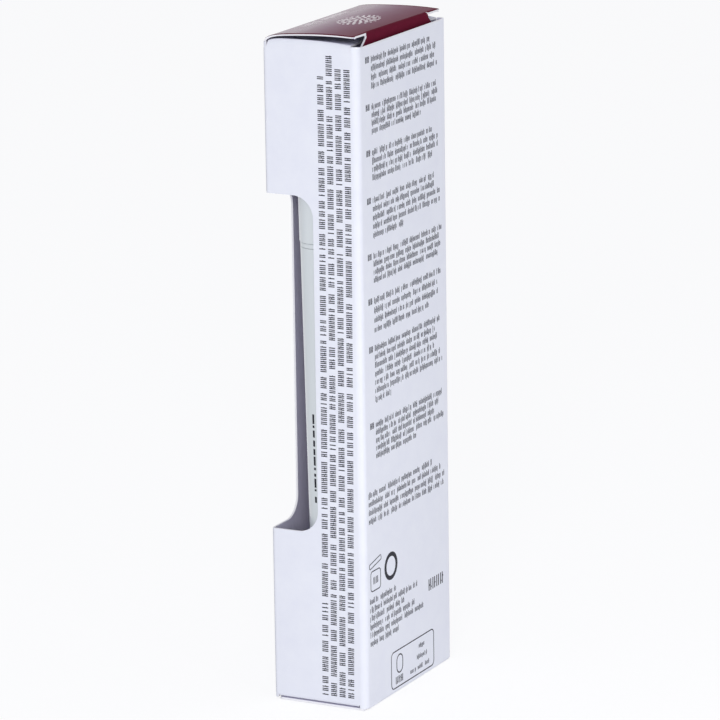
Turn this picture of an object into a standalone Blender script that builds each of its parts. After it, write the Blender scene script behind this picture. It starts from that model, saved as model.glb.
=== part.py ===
"""A nail care pen standing in its folding carton.

The carton is a narrow reverse-tuck box of folding board, with a window cut round one upright edge.
The pen is a twist pen: a knob at its foot turns a screw, which pushes a piston up the barrel.
Metres, +Z up. The origin is under the middle of the carton. The front panel faces -Y, the panel
with the window's other half faces +X, and the carton's back faces +Y.
"""

import math

import bmesh
import bpy

# Carton
CARTON_HEIGHT = 0.150
CARTON_WIDTH = 0.043
CARTON_DEPTH = 0.0232
BOARD = 0.00045
FOLD_GAP = 0.0003

# Window, cut round the upright edge between the front and the window side
WINDOW_BOTTOM = 0.0400
WINDOW_HEAD_MARGIN = 0.0337
WINDOW_ON_FRONT = 0.0120
WINDOW_ON_SIDE = 0.0117
WINDOW_CORNER = 0.0050

# Glue flap, inside the plain side
GLUE_FLAP_WIDTH = 0.0115
GLUE_FLAP_END_DROP = 0.0030
GLUE_FLAP_TAPER = 0.0035

# Closures
LID_BACK_CLEARANCE = 0.0005
LID_SIDE_INSET = 0.00015
LID_CORNER = 0.0008
TUCK_LENGTH = 0.0140
TUCK_SIDE_INSET = 0.0016
TUCK_CORNER = 0.0060
SLIT_LENGTH = 0.0063
SLIT_FLARE_HEIGHT = 0.0042
DUST_LENGTH = 0.0130
DUST_HINGE_INSET = 0.0005
DUST_TUCK_INSET = 0.0020
DUST_CORNER = 0.0015
DUST_LID_TAPER = math.radians(40.0)
DUST_TUCK_TAPER = math.radians(15.0)
TOP_LID_AJAR = math.radians(5.0)
TOP_TUCK_LEAN = math.radians(6.0)
BOTTOM_LID_AJAR = math.radians(0.0)
BOTTOM_TUCK_LEAN = math.radians(3.0)

# Pen, its place in the carton
PEN_HEADROOM = 0.0120
PEN_SIDE_CLEARANCE = 0.0003
PEN_FOOT_BEHIND_MIDDLE = 0.0014
PEN_LEAN = math.radians(1.0)

# Pen, lengths along its axis from its foot
KNOB_LENGTH = 0.0130
KNOB_NECK_LENGTH = 0.0040
KNOB_FLOOR = 0.0018
PLUG_THICKNESS = 0.0009
PLUG_RECESS = 0.0012
RATCHET_LENGTH = 0.0030
RATCHET_ABOVE_NECK = 0.0030
NUT_LENGTH = 0.0050
SCREW_KEY_LENGTH = 0.0030
SCREW_KEY_START = 0.0012
SCREW_KEY_HEADROOM = 0.0008
SCREW_TIP_IN_PISTON = 0.0036
THREAD_PITCH = 0.0030
PISTON_LENGTH = 0.0076
PISTON_LIP = 0.0018
PISTON_RING_HEIGHT = 0.0012
BALM_LEFT_LENGTH = 0.0080
CAP_LENGTH = 0.0339
COLLAR_HEIGHT = 0.0010
NOZZLE_PLUG_LENGTH = 0.0045
NECK_LENGTH = 0.0072
NOZZLE_CONE_LENGTH = 0.0020
TIP_LENGTH = 0.0120
TIP_SEAT_DEPTH = 0.0027
TIP_SLANT = math.radians(38.0)
TIP_HEADROOM = 0.00125
INNER_CAP_TOP = 0.0020
INNER_CAP_SHOULDER = 0.0012
CAP_SEAL_THICKNESS = 0.0008
CAP_TOP_WALL = 0.0016

# Pen, radii
CAP_RADIUS = 0.00550
BARREL_RADIUS = 0.00535
BARREL_WALL = 0.00090
CAP_WALL = 0.00060
PLUG_RADIUS = 0.00320
SLEEVE_RADIUS = 0.00305
SLEEVE_KEYWAY = 0.00320
SCREW_CREST = 0.00140
SCREW_ROOT = 0.00105
NECK_RADIUS = 0.00390
NOZZLE_TOP_RADIUS = 0.00260
TIP_RADIUS = 0.00200
CHANNEL_RADIUS = 0.00060
TIP_ROOM_RADIUS = 0.00290
PISTON_WAIST = 0.00045
PISTON_RING_DEPTH = 0.00075
RATCHET_TOOTH_DEPTH = 0.00030
RATCHET_RAMP_SHARE = 0.85
PAWL_REACH = 0.00035
EDGE_ROUND = 0.00050
CAP_DOME = 0.00180
EDGE_CUT = 0.00020

# Fits
SEAT_GAP = 0.0003
RUNNING_FIT = 0.00007
SNUG_FIT = 0.00005
LOOSE_FIT = 0.00010
CUT_OVERRUN = 0.0010
WELD_DISTANCE = 0.000001

# Counts
TURN_STEPS = 40
THREAD_STEPS = 14
CORNER_STEPS = 6
ROUND_STEPS = 4
RATCHET_TEETH = 18
RING_STEPS = 72
PAWL_FINGERS = 2

# Worked out from the sizes above
HALF_WIDTH = CARTON_WIDTH / 2
HALF_DEPTH = CARTON_DEPTH / 2
LAYER = BOARD + FOLD_GAP
WINDOW_TOP = CARTON_HEIGHT - WINDOW_HEAD_MARGIN
LID_LENGTH = CARTON_DEPTH - BOARD - LID_BACK_CLEARANCE
SIDE_PANEL_FROM = -HALF_DEPTH + LAYER
SIDE_PANEL_TO = HALF_DEPTH - LAYER

# Worked out along the pen, from its two ends towards the stroke that is left between them
PEN_LENGTH = CARTON_HEIGHT - PEN_HEADROOM
CAP_LIP = PEN_LENGTH - CAP_LENGTH
BARREL_BORE = BARREL_RADIUS - BARREL_WALL
CAP_BORE = CAP_RADIUS - CAP_WALL
BARREL_FOOT = KNOB_LENGTH + SEAT_GAP
COLLAR_FOOT = CAP_LIP - SEAT_GAP - COLLAR_HEIGHT
BARREL_TOP = COLLAR_FOOT - SEAT_GAP
NECK_TOP = COLLAR_FOOT + NECK_LENGTH
NOZZLE_FOOT = BARREL_TOP - NOZZLE_PLUG_LENGTH
NOZZLE_TOP = NECK_TOP + NOZZLE_CONE_LENGTH
TIP_FOOT = NOZZLE_TOP - TIP_SEAT_DEPTH
TIP_HEAD = TIP_FOOT + TIP_LENGTH
INNER_CAP_FOOT = CAP_LIP + SEAT_GAP
INNER_CAP_ROOM_TOP = TIP_HEAD + TIP_HEADROOM + CAP_SEAL_THICKNESS + SNUG_FIT
INNER_CAP_HEAD = INNER_CAP_ROOM_TOP + INNER_CAP_TOP
KNOB_TOP = KNOB_LENGTH + KNOB_NECK_LENGTH
KNOB_POCKET = PLUG_RECESS + KNOB_FLOOR
SLEEVE_FOOT = KNOB_POCKET + SEAT_GAP
RATCHET_FOOT = KNOB_TOP + RATCHET_ABOVE_NECK
SCREW_FOOT = SLEEVE_FOOT + SCREW_KEY_START
SCREW_THREAD_FOOT = SCREW_FOOT + SCREW_KEY_LENGTH
STACK_BELOW = SCREW_THREAD_FOOT + SCREW_KEY_HEADROOM + SEAT_GAP + NUT_LENGTH + SEAT_GAP + PISTON_LENGTH
STROKE = (NOZZLE_FOOT - SEAT_GAP - BALM_LEFT_LENGTH - SEAT_GAP - STACK_BELOW) / 2
SLEEVE_TOP = SCREW_THREAD_FOOT + SCREW_KEY_HEADROOM + STROKE
SLEEVE_LENGTH = SLEEVE_TOP - SLEEVE_FOOT
NUT_FOOT = SLEEVE_TOP + SEAT_GAP
PISTON_FOOT = NUT_FOOT + NUT_LENGTH + SEAT_GAP
PISTON_TOP = PISTON_FOOT + PISTON_LENGTH
SCREW_TOP = PISTON_FOOT + SCREW_TIP_IN_PISTON
SCREW_THREAD_LENGTH = SCREW_TOP - SCREW_THREAD_FOOT
PEN_X = HALF_WIDTH - BOARD - PEN_SIDE_CLEARANCE - CAP_RADIUS
PEN_FOOT_Z = BOARD + LAYER + SEAT_GAP + BARREL_RADIUS * math.sin(PEN_LEAN)


def clear_scene():
    """Remove every object that is in the scene already."""
    for thing in list(bpy.data.objects):
        bpy.data.objects.remove(thing, do_unlink=True)


def new_collection(name):
    """A collection of its own, linked to the scene."""
    collection = bpy.data.collections.new(name)
    bpy.context.scene.collection.children.link(collection)
    return collection


clear_scene()
PARTS = new_collection("nail_care_pen_in_carton")
CUTTERS = new_collection("cutters")


def finish(name, colour, roughness, metallic=0.0):
    """A Principled BSDF material with one colour, roughness and metallic value."""
    material = bpy.data.materials.new(name)
    material.use_nodes = True
    shader = material.node_tree.nodes["Principled BSDF"]
    shader.inputs["Base Color"].default_value = (*colour, 1.0)
    shader.inputs["Roughness"].default_value = roughness
    shader.inputs["Metallic"].default_value = metallic
    return material


BOARD_WHITE = finish("board_white", (0.76, 0.78, 0.86), 0.45)
BOARD_BURGUNDY = finish("board_burgundy", (0.13, 0.012, 0.03), 0.30)
PEN_WHITE = finish("pen_white_plastic", (0.60, 0.64, 0.67), 0.22)
NATURAL_PLASTIC = finish("natural_plastic", (0.70, 0.70, 0.66), 0.35)
GREY_PLASTIC = finish("grey_plastic", (0.30, 0.31, 0.33), 0.40)
SEAL_RUBBER = finish("seal_rubber", (0.06, 0.06, 0.065), 0.70)
SOFT_TIP = finish("soft_tip_rubber", (0.62, 0.30, 0.34), 0.60)
BALM = finish("care_balm", (0.85, 0.68, 0.38), 0.30)


def place(thing, parent, location, rotation):
    """Link an object to the part's collection, and set it in its parent's frame."""
    PARTS.objects.link(thing)
    thing.parent = parent
    thing.location = location
    thing.rotation_euler = rotation
    return thing


def frame(name, parent=None, location=(0, 0, 0), rotation=(0, 0, 0)):
    """An empty that carries what moves with it."""
    return place(bpy.data.objects.new(name, None), parent, location, rotation)


def rounded(corners):
    """Outline points of a polygon. A corner is (x, y) or (x, y, radius), and a radius rounds it."""
    points = []
    for index, corner in enumerate(corners):
        x, y = corner[0], corner[1]
        radius = corner[2] if len(corner) == 3 else 0
        if not radius:
            points.append((x, y))
            continue
        before, after = corners[index - 1], corners[(index + 1) % len(corners)]
        from_angle = math.atan2(before[1] - y, before[0] - x)
        to_angle = math.atan2(after[1] - y, after[0] - x)
        turn = (to_angle - from_angle + math.pi) % math.tau - math.pi
        middle = from_angle + turn / 2
        reach = radius / abs(math.sin(turn / 2))
        centre = (x + reach * math.cos(middle), y + reach * math.sin(middle))
        sweep = math.copysign(math.pi - abs(turn), turn)
        for step in range(CORNER_STEPS + 1):
            angle = middle + math.pi + sweep / 2 - sweep * step / CORNER_STEPS
            points.append((centre[0] + radius * math.cos(angle), centre[1] + radius * math.sin(angle)))
    return points


def circle(radius, steps=TURN_STEPS):
    """Points round a circle."""
    angles = [math.tau * step / steps for step in range(steps)]
    return [(radius * math.cos(angle), radius * math.sin(angle)) for angle in angles]


def flat_piece(name, outlines, thickness, material, parent=None, location=(0, 0, 0), rotation=(0, 0, 0)):
    """A flat piece: outlines filled in the piece's own XY plane, half its thickness each way."""
    curve = bpy.data.curves.new(name, "CURVE")
    curve.dimensions = "2D"
    curve.fill_mode = "BOTH"
    curve.extrude = thickness / 2
    for outline in outlines:
        spline = curve.splines.new("POLY")
        spline.points.add(len(outline) - 1)
        for point, (x, y) in zip(spline.points, outline):
            point.co = (x, y, 0, 1)
        spline.use_cyclic_u = True
    curve.materials.append(material)
    return place(bpy.data.objects.new(name, curve), parent, location, rotation)


def turned_piece(name, profile, material, parent, steps=TURN_STEPS, closed=False):
    """A piece turned about its own Z axis. The profile is (radius, height), down the outer side."""
    count = len(profile)
    edges = [(index, index + 1) for index in range(count - 1)]
    if closed:
        edges.append((count - 1, 0))
    mesh = bpy.data.meshes.new(name)
    mesh.from_pydata([(radius, 0, height) for radius, height in profile], edges, [])
    mesh.materials.append(material)
    thing = place(bpy.data.objects.new(name, mesh), parent, (0, 0, 0), (0, 0, 0))
    screw = thing.modifiers.new("Turn", "SCREW")
    screw.steps = steps
    screw.render_steps = steps
    screw.use_merge_vertices = True
    screw.merge_threshold = WELD_DISTANCE
    screw.use_smooth_shade = True
    return thing


def quarter(centre_radius, centre_height, radius, from_degrees, to_degrees):
    """Profile points on an arc, by its angle up from the horizontal."""
    points = []
    for step in range(ROUND_STEPS + 1):
        angle = math.radians(from_degrees + (to_degrees - from_degrees) * step / ROUND_STEPS)
        points.append((centre_radius + radius * math.cos(angle), centre_height + radius * math.sin(angle)))
    return points


def cutter_box(name, size, parent, location, rotation=(0, 0, 0)):
    """A box that cuts and isn't part of the object."""
    bpy.ops.mesh.primitive_cube_add(size=1)
    box = bpy.context.object
    box.name = name
    for collection in list(box.users_collection):
        collection.objects.unlink(box)
    CUTTERS.objects.link(box)
    box.parent = parent
    box.location = location
    box.rotation_euler = rotation
    box.scale = size
    box.hide_render = True
    box.display_type = "WIRE"
    return box


def cut(thing, cutter):
    """Take the cutter's shape out of a piece."""
    boolean = thing.modifiers.new("Cut", "BOOLEAN")
    boolean.operation = "DIFFERENCE"
    boolean.solver = "EXACT"
    boolean.object = cutter


# The carton's four walls and its glue flap

FACING_Y = (math.pi / 2, 0, 0)
FACING_X = (math.pi / 2, 0, math.pi / 2)


def front_panel():
    """The wide front wall, with half of the window cut into its edge."""
    window_edge = HALF_WIDTH - WINDOW_ON_FRONT
    outline = rounded([
        (-HALF_WIDTH, FOLD_GAP),
        (HALF_WIDTH, FOLD_GAP),
        (HALF_WIDTH, WINDOW_BOTTOM),
        (window_edge, WINDOW_BOTTOM, WINDOW_CORNER),
        (window_edge, WINDOW_TOP, WINDOW_CORNER),
        (HALF_WIDTH, WINDOW_TOP),
        (HALF_WIDTH, CARTON_HEIGHT - LAYER),
        (-HALF_WIDTH, CARTON_HEIGHT - LAYER),
    ])
    flat_piece("front_panel", [outline], BOARD, BOARD_WHITE, None, (0, -HALF_DEPTH + BOARD / 2, 0), FACING_Y)


def back_panel():
    """The wide back wall. Its top is a cut edge and its foot is the bottom lid's fold."""
    outline = rounded([
        (-HALF_WIDTH, LAYER),
        (HALF_WIDTH, LAYER),
        (HALF_WIDTH, CARTON_HEIGHT - FOLD_GAP),
        (-HALF_WIDTH, CARTON_HEIGHT - FOLD_GAP),
    ])
    flat_piece("back_panel", [outline], BOARD, BOARD_WHITE, None, (0, HALF_DEPTH - BOARD / 2, 0), FACING_Y)


def side_heights():
    """Where the narrow walls start and end, under the dust flaps that fold off them."""
    return LAYER + LAYER, CARTON_HEIGHT - LAYER - LAYER


def window_side_panel():
    """The narrow wall with the other half of the window."""
    foot, head = side_heights()
    window_edge = -HALF_DEPTH + WINDOW_ON_SIDE
    outline = rounded([
        (SIDE_PANEL_FROM, foot),
        (SIDE_PANEL_TO, foot),
        (SIDE_PANEL_TO, head),
        (SIDE_PANEL_FROM, head),
        (SIDE_PANEL_FROM, WINDOW_TOP),
        (window_edge, WINDOW_TOP, WINDOW_CORNER),
        (window_edge, WINDOW_BOTTOM, WINDOW_CORNER),
        (SIDE_PANEL_FROM, WINDOW_BOTTOM),
    ])
    place_x = HALF_WIDTH - BOARD / 2
    flat_piece("window_side_panel", [outline], BOARD, BOARD_WHITE, None, (place_x, 0, 0), FACING_X)


def plain_side_panel():
    """The narrow wall without a window."""
    foot, head = side_heights()
    outline = rounded([
        (SIDE_PANEL_FROM, foot),
        (SIDE_PANEL_TO, foot),
        (SIDE_PANEL_TO, head),
        (SIDE_PANEL_FROM, head),
    ])
    place_x = -HALF_WIDTH + BOARD / 2
    flat_piece("plain_side_panel", [outline], BOARD, BOARD_WHITE, None, (place_x, 0, 0), FACING_X)


def glue_flap():
    """The tapered strip that is glued inside the plain side and closes the sleeve."""
    foot, head = side_heights()
    low, high = foot + GLUE_FLAP_END_DROP, head - GLUE_FLAP_END_DROP
    free_edge = SIDE_PANEL_TO - GLUE_FLAP_WIDTH
    outline = rounded([
        (SIDE_PANEL_TO, low),
        (SIDE_PANEL_TO, high),
        (free_edge, high - GLUE_FLAP_TAPER),
        (free_edge, low + GLUE_FLAP_TAPER),
    ])
    place_x = -HALF_WIDTH + LAYER + BOARD / 2
    flat_piece("glue_flap", [outline], BOARD, BOARD_WHITE, None, (place_x, 0, 0), FACING_X)


# The two closures, each in a frame whose Z points out of the carton's end


def lid(end, closure, ajar, material):
    """The end panel. Its fold is its hinge, and the empty on that fold is returned."""
    axis = frame(end + "_lid_axis", closure, (0, -HALF_DEPTH, 0), (ajar, 0, 0))
    half = HALF_WIDTH - LID_SIDE_INSET
    outline = rounded([
        (-half, 0),
        (half, 0),
        (half, LID_LENGTH, LID_CORNER),
        (-half, LID_LENGTH, LID_CORNER),
    ])
    flat_piece(end + "_lid_panel", [outline], BOARD, material, axis, (0, 0, -BOARD / 2))
    return axis


def tuck_flap(end, lid_axis, lean, material):
    """The flap that slides in behind the wall. Slits at its fold let its shoulders lock."""
    fold = (0, LID_LENGTH - BOARD, -BOARD)
    axis = frame(end + "_tuck_axis", lid_axis, fold, (-math.pi / 2 - lean, 0, 0))
    at_fold = HALF_WIDTH - SLIT_LENGTH
    at_shoulder = HALF_WIDTH - TUCK_SIDE_INSET
    outline = rounded([
        (-at_fold, FOLD_GAP),
        (at_fold, FOLD_GAP),
        (at_shoulder, SLIT_FLARE_HEIGHT),
        (at_shoulder, TUCK_LENGTH, TUCK_CORNER),
        (-at_shoulder, TUCK_LENGTH, TUCK_CORNER),
        (-at_shoulder, SLIT_FLARE_HEIGHT),
    ])
    flat_piece(end + "_tuck_flap", [outline], BOARD, material, axis, (0, 0, BOARD / 2))


def dust_flap(end, side_name, side, closure):
    """A flap folded in off a narrow wall. side is 1 for the window side and -1 for the plain side."""
    axis = frame(
        f"{end}_dust_axis_{side_name}",
        closure,
        (side * HALF_WIDTH, 0, -LAYER),
        (0, 0, side * math.pi / 2),
    )
    lid_edge = -HALF_DEPTH + BOARD + DUST_HINGE_INSET
    tuck_edge = HALF_DEPTH - DUST_TUCK_INSET
    lid_tip = lid_edge + DUST_LENGTH * math.tan(DUST_LID_TAPER)
    tuck_tip = tuck_edge - DUST_LENGTH * math.tan(DUST_TUCK_TAPER)
    outline = rounded([
        (side * lid_edge, 0),
        (side * tuck_edge, 0),
        (side * tuck_tip, DUST_LENGTH, DUST_CORNER),
        (side * lid_tip, DUST_LENGTH, DUST_CORNER),
    ])
    flat_piece(f"{end}_dust_flap_{side_name}", [outline], BOARD, BOARD_WHITE, axis, (0, 0, -BOARD / 2))


def closure(end, height, turn, ajar, lean, material):
    """A lid with its tuck flap and two dust flaps at one end of the carton."""
    end_frame = frame(end + "_closure", None, (0, 0, height), (turn, 0, 0))
    lid_axis = lid(end, end_frame, ajar, material)
    tuck_flap(end, lid_axis, lean, material)
    dust_flap(end, "window_side", 1, end_frame)
    dust_flap(end, "plain_side", -1, end_frame)


# The pen, in a frame whose Z is the pen's axis and whose origin is the middle of its foot


def twist_knob(pen):
    """The knob at the foot: a cup whose neck turns inside the barrel."""
    neck = BARREL_BORE - RUNNING_FIT
    pocket = SLEEVE_RADIUS + SNUG_FIT
    profile = [
        (0, KNOB_POCKET),
        (pocket, KNOB_POCKET),
        (pocket, KNOB_TOP),
        (neck, KNOB_TOP),
        (neck, KNOB_LENGTH),
        (BARREL_RADIUS - EDGE_CUT, KNOB_LENGTH),
        (BARREL_RADIUS, KNOB_LENGTH - EDGE_CUT),
        *quarter(BARREL_RADIUS - EDGE_ROUND, EDGE_ROUND, EDGE_ROUND, 0, -90),
        (PLUG_RADIUS + SNUG_FIT, 0),
        (PLUG_RADIUS + SNUG_FIT, PLUG_RECESS),
        (0, PLUG_RECESS),
    ]
    turned_piece("twist_knob", profile, PEN_WHITE, pen)


def knob_end_plug(pen):
    """The small disc that closes the knob's foot."""
    low = PLUG_RECESS - SEAT_GAP - PLUG_THICKNESS
    profile = [
        (0, low + PLUG_THICKNESS),
        (PLUG_RADIUS, low + PLUG_THICKNESS),
        (PLUG_RADIUS, low),
        (0, low),
    ]
    turned_piece("knob_end_plug", profile, PEN_WHITE, pen)


def drive_sleeve(pen):
    """The tube fixed in the knob. The screw's square foot slides in its square bore."""
    profile = [
        (0, SLEEVE_TOP),
        (SLEEVE_RADIUS - EDGE_CUT, SLEEVE_TOP),
        (SLEEVE_RADIUS, SLEEVE_TOP - EDGE_CUT),
        (SLEEVE_RADIUS, SLEEVE_FOOT),
        (0, SLEEVE_FOOT),
    ]
    sleeve = turned_piece("drive_sleeve", profile, NATURAL_PLASTIC, pen)
    height = SLEEVE_LENGTH + CUT_OVERRUN + CUT_OVERRUN
    middle = (0, 0, SLEEVE_FOOT + SLEEVE_LENGTH / 2)
    cut(sleeve, cutter_box("sleeve_keyway", (SLEEVE_KEYWAY, SLEEVE_KEYWAY, height), pen, middle))


def click_ring(pen):
    """The ring on the sleeve with two spring fingers that click over the ratchet's teeth."""
    bore = SLEEVE_RADIUS + SNUG_FIT
    outline = []
    for step in range(RING_STEPS):
        angle = math.tau * step / RING_STEPS
        swell = max(0.0, math.cos(PAWL_FINGERS * angle)) ** 4
        radius = bore + PAWL_REACH / 2 + swell * PAWL_REACH / 2
        outline.append((radius * math.cos(angle), radius * math.sin(angle)))
    middle = RATCHET_FOOT + RATCHET_LENGTH / 2
    flat_piece("click_ring", [outline, circle(bore)], RATCHET_LENGTH, GREY_PLASTIC, pen, (0, 0, middle))


def ratchet_ring(pen):
    """The ring fixed in the barrel, with saw teeth in its bore."""
    tooth_tip = SLEEVE_RADIUS + SNUG_FIT + PAWL_REACH + RUNNING_FIT
    bore = []
    for step in range(RATCHET_TEETH):
        start = math.tau * step / RATCHET_TEETH
        end = start + math.tau * RATCHET_RAMP_SHARE / RATCHET_TEETH
        bore.append((tooth_tip * math.cos(start), tooth_tip * math.sin(start)))
        root = tooth_tip + RATCHET_TOOTH_DEPTH
        bore.append((root * math.cos(end), root * math.sin(end)))
    rim = circle(BARREL_BORE - SNUG_FIT)
    middle = RATCHET_FOOT + RATCHET_LENGTH / 2
    flat_piece("ratchet_ring", [rim, bore], RATCHET_LENGTH, GREY_PLASTIC, pen, (0, 0, middle))


def screw_nut(pen):
    """The nut fixed in the barrel, which the turning screw climbs through."""
    bore = SCREW_CREST + LOOSE_FIT
    rim = BARREL_BORE - SNUG_FIT
    profile = [
        (rim - EDGE_CUT, NUT_FOOT + NUT_LENGTH),
        (rim, NUT_FOOT + NUT_LENGTH - EDGE_CUT),
        (rim, NUT_FOOT),
        (bore, NUT_FOOT),
        (bore, NUT_FOOT + NUT_LENGTH),
    ]
    turned_piece("screw_nut", profile, GREY_PLASTIC, pen, closed=True)


def lead_screw(pen):
    """The square-footed rod with a coarse thread, cut level at its top."""
    half_key = SLEEVE_KEYWAY / 2 - SNUG_FIT
    key = [(half_key, half_key), (-half_key, half_key), (-half_key, -half_key), (half_key, -half_key)]
    middle = SCREW_FOOT + SCREW_KEY_LENGTH / 2
    foot = flat_piece("screw_key", [key], SCREW_KEY_LENGTH, GREY_PLASTIC, pen, (0, 0, middle))
    thread = threaded_rod("lead_screw", pen)
    join_closed(thread, foot)


def threaded_rod(name, pen):
    """One unbroken helical thread on a rod, made from one pitch of its profile."""
    turns = math.ceil((SCREW_THREAD_LENGTH + CUT_OVERRUN) / THREAD_PITCH) + 1
    start = SCREW_THREAD_FOOT - CUT_OVERRUN - THREAD_PITCH
    flank = THREAD_PITCH / 8
    profile = [
        (SCREW_ROOT, start + THREAD_PITCH),
        (SCREW_ROOT, start + THREAD_PITCH / 2 + flank),
        (SCREW_CREST, start + THREAD_PITCH / 2),
        (SCREW_CREST, start + flank),
        (SCREW_ROOT, start),
    ]
    mesh = bpy.data.meshes.new(name)
    edges = [(index, index + 1) for index in range(len(profile) - 1)]
    mesh.from_pydata([(radius, 0, height) for radius, height in profile], edges, [])
    mesh.materials.append(GREY_PLASTIC)
    rod = place(bpy.data.objects.new(name, mesh), pen, (0, 0, 0), (0, 0, 0))
    screw = rod.modifiers.new("Thread", "SCREW")
    screw.steps = THREAD_STEPS
    screw.render_steps = THREAD_STEPS
    screw.screw_offset = THREAD_PITCH
    screw.iterations = turns
    screw.use_merge_vertices = True
    screw.merge_threshold = WELD_DISTANCE
    return rod


def join_closed(rod, foot):
    """Trim the thread level at both ends, close it, and unite it with its square foot."""
    graph = bpy.context.evaluated_depsgraph_get()
    mesh = bpy.data.meshes.new_from_object(rod.evaluated_get(graph))
    shape = bmesh.new()
    shape.from_mesh(mesh)
    bmesh.ops.remove_doubles(shape, verts=shape.verts, dist=WELD_DISTANCE)
    for height, up in ((SCREW_TOP, 1), (SCREW_THREAD_FOOT - SEAT_GAP, -1)):
        found = bmesh.ops.bisect_plane(
            shape,
            geom=shape.verts[:] + shape.edges[:] + shape.faces[:],
            plane_co=(0, 0, height),
            plane_no=(0, 0, up),
            clear_outer=True,
        )
        rim = [item for item in found["geom_cut"] if isinstance(item, bmesh.types.BMEdge)]
        bmesh.ops.edgeloop_fill(shape, edges=rim)
    bmesh.ops.recalc_face_normals(shape, faces=shape.faces)
    shape.to_mesh(mesh)
    shape.free()
    rod.modifiers.clear()
    rod.data = mesh
    foot_mesh = bpy.data.meshes.new_from_object(foot.evaluated_get(graph))
    shape = bmesh.new()
    shape.from_mesh(foot_mesh)
    bmesh.ops.remove_doubles(shape, verts=shape.verts, dist=WELD_DISTANCE)
    shape.to_mesh(foot_mesh)
    shape.free()
    key = bpy.data.objects.new("screw_key_cutter", foot_mesh)
    CUTTERS.objects.link(key)
    key.parent = foot.parent
    key.location = foot.location
    key.hide_render = True
    key.display_type = "WIRE"
    bpy.data.objects.remove(foot, do_unlink=True)
    union = rod.modifiers.new("Key", "BOOLEAN")
    union.operation = "UNION"
    union.solver = "EXACT"
    union.object = key


def piston(pen):
    """The follower that pushes the balm: two lips, a groove for its ring and a socket for the screw."""
    lip = BARREL_BORE - RUNNING_FIT
    waist = lip - PISTON_WAIST
    socket = SCREW_CREST + LOOSE_FIT
    ring_foot = PISTON_FOOT + PISTON_LENGTH / 2 - PISTON_RING_HEIGHT / 2 - SEAT_GAP
    ring_head = ring_foot + PISTON_RING_HEIGHT + SEAT_GAP + SEAT_GAP
    groove = lip - PISTON_RING_DEPTH
    profile = [
        (0, PISTON_TOP),
        (lip - EDGE_ROUND, PISTON_TOP),
        (lip, PISTON_TOP - EDGE_ROUND),
        (lip, PISTON_TOP - PISTON_LIP),
        (waist, PISTON_TOP - PISTON_LIP - EDGE_CUT),
        (waist, ring_head),
        (groove, ring_head),
        (groove, ring_foot),
        (waist, ring_foot),
        (waist, PISTON_FOOT + PISTON_LIP + EDGE_CUT),
        (lip, PISTON_FOOT + PISTON_LIP),
        (lip, PISTON_FOOT),
        (socket, PISTON_FOOT),
        (socket, SCREW_TOP + SEAT_GAP),
        (0, SCREW_TOP + SEAT_GAP),
    ]
    turned_piece("piston", profile, NATURAL_PLASTIC, pen)


def piston_ring(pen):
    """The rubber ring in the piston's groove."""
    rim = BARREL_BORE - SNUG_FIT
    bore = BARREL_BORE - RUNNING_FIT - PISTON_RING_DEPTH + SNUG_FIT
    low = PISTON_FOOT + PISTON_LENGTH / 2 - PISTON_RING_HEIGHT / 2
    high = low + PISTON_RING_HEIGHT
    profile = [
        (rim - EDGE_CUT, high),
        (rim, high - EDGE_CUT),
        (rim, low + EDGE_CUT),
        (rim - EDGE_CUT, low),
        (bore, low),
        (bore, high),
    ]
    turned_piece("piston_ring", profile, SEAL_RUBBER, pen, closed=True)


def balm_fill(pen):
    """The balm between the piston and the nozzle."""
    radius = BARREL_BORE - RUNNING_FIT
    low, high = PISTON_TOP + SEAT_GAP, NOZZLE_FOOT - SEAT_GAP
    profile = [(0, high), (radius, high), (radius, low), (0, low)]
    turned_piece("balm_fill", profile, BALM, pen)


def barrel(pen):
    """The long outer tube that is held in the hand."""
    profile = [
        (BARREL_RADIUS - EDGE_CUT, BARREL_TOP),
        (BARREL_RADIUS, BARREL_TOP - EDGE_CUT),
        (BARREL_RADIUS, BARREL_FOOT + EDGE_CUT),
        (BARREL_RADIUS - EDGE_CUT, BARREL_FOOT),
        (BARREL_BORE, BARREL_FOOT),
        (BARREL_BORE, BARREL_TOP),
    ]
    turned_piece("barrel", profile, PEN_WHITE, pen, closed=True)


def collar_ring(pen):
    """The thin ring between the barrel and the cap's lip."""
    high = COLLAR_FOOT + COLLAR_HEIGHT
    bore = NECK_RADIUS + SNUG_FIT
    profile = [
        (BARREL_RADIUS - EDGE_CUT, high),
        (BARREL_RADIUS, high - EDGE_CUT),
        (BARREL_RADIUS, COLLAR_FOOT + EDGE_CUT),
        (BARREL_RADIUS - EDGE_CUT, COLLAR_FOOT),
        (bore, COLLAR_FOOT),
        (bore, high),
    ]
    turned_piece("collar_ring", profile, PEN_WHITE, pen, closed=True)


def nozzle_holder(pen):
    """The plug in the barrel's mouth, with the neck that the cap grips and a channel for the balm."""
    plug = BARREL_BORE - SNUG_FIT
    seat = TIP_RADIUS + SNUG_FIT
    profile = [
        (NOZZLE_TOP_RADIUS, NOZZLE_TOP),
        (NECK_RADIUS, NECK_TOP),
        (NECK_RADIUS, BARREL_TOP),
        (plug, BARREL_TOP),
        (plug, NOZZLE_FOOT),
        (CHANNEL_RADIUS, NOZZLE_FOOT),
        (CHANNEL_RADIUS, TIP_FOOT - SEAT_GAP),
        (seat, TIP_FOOT - SEAT_GAP),
        (seat, NOZZLE_TOP),
    ]
    turned_piece("nozzle_holder", profile, NATURAL_PLASTIC, pen, closed=True)


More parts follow.
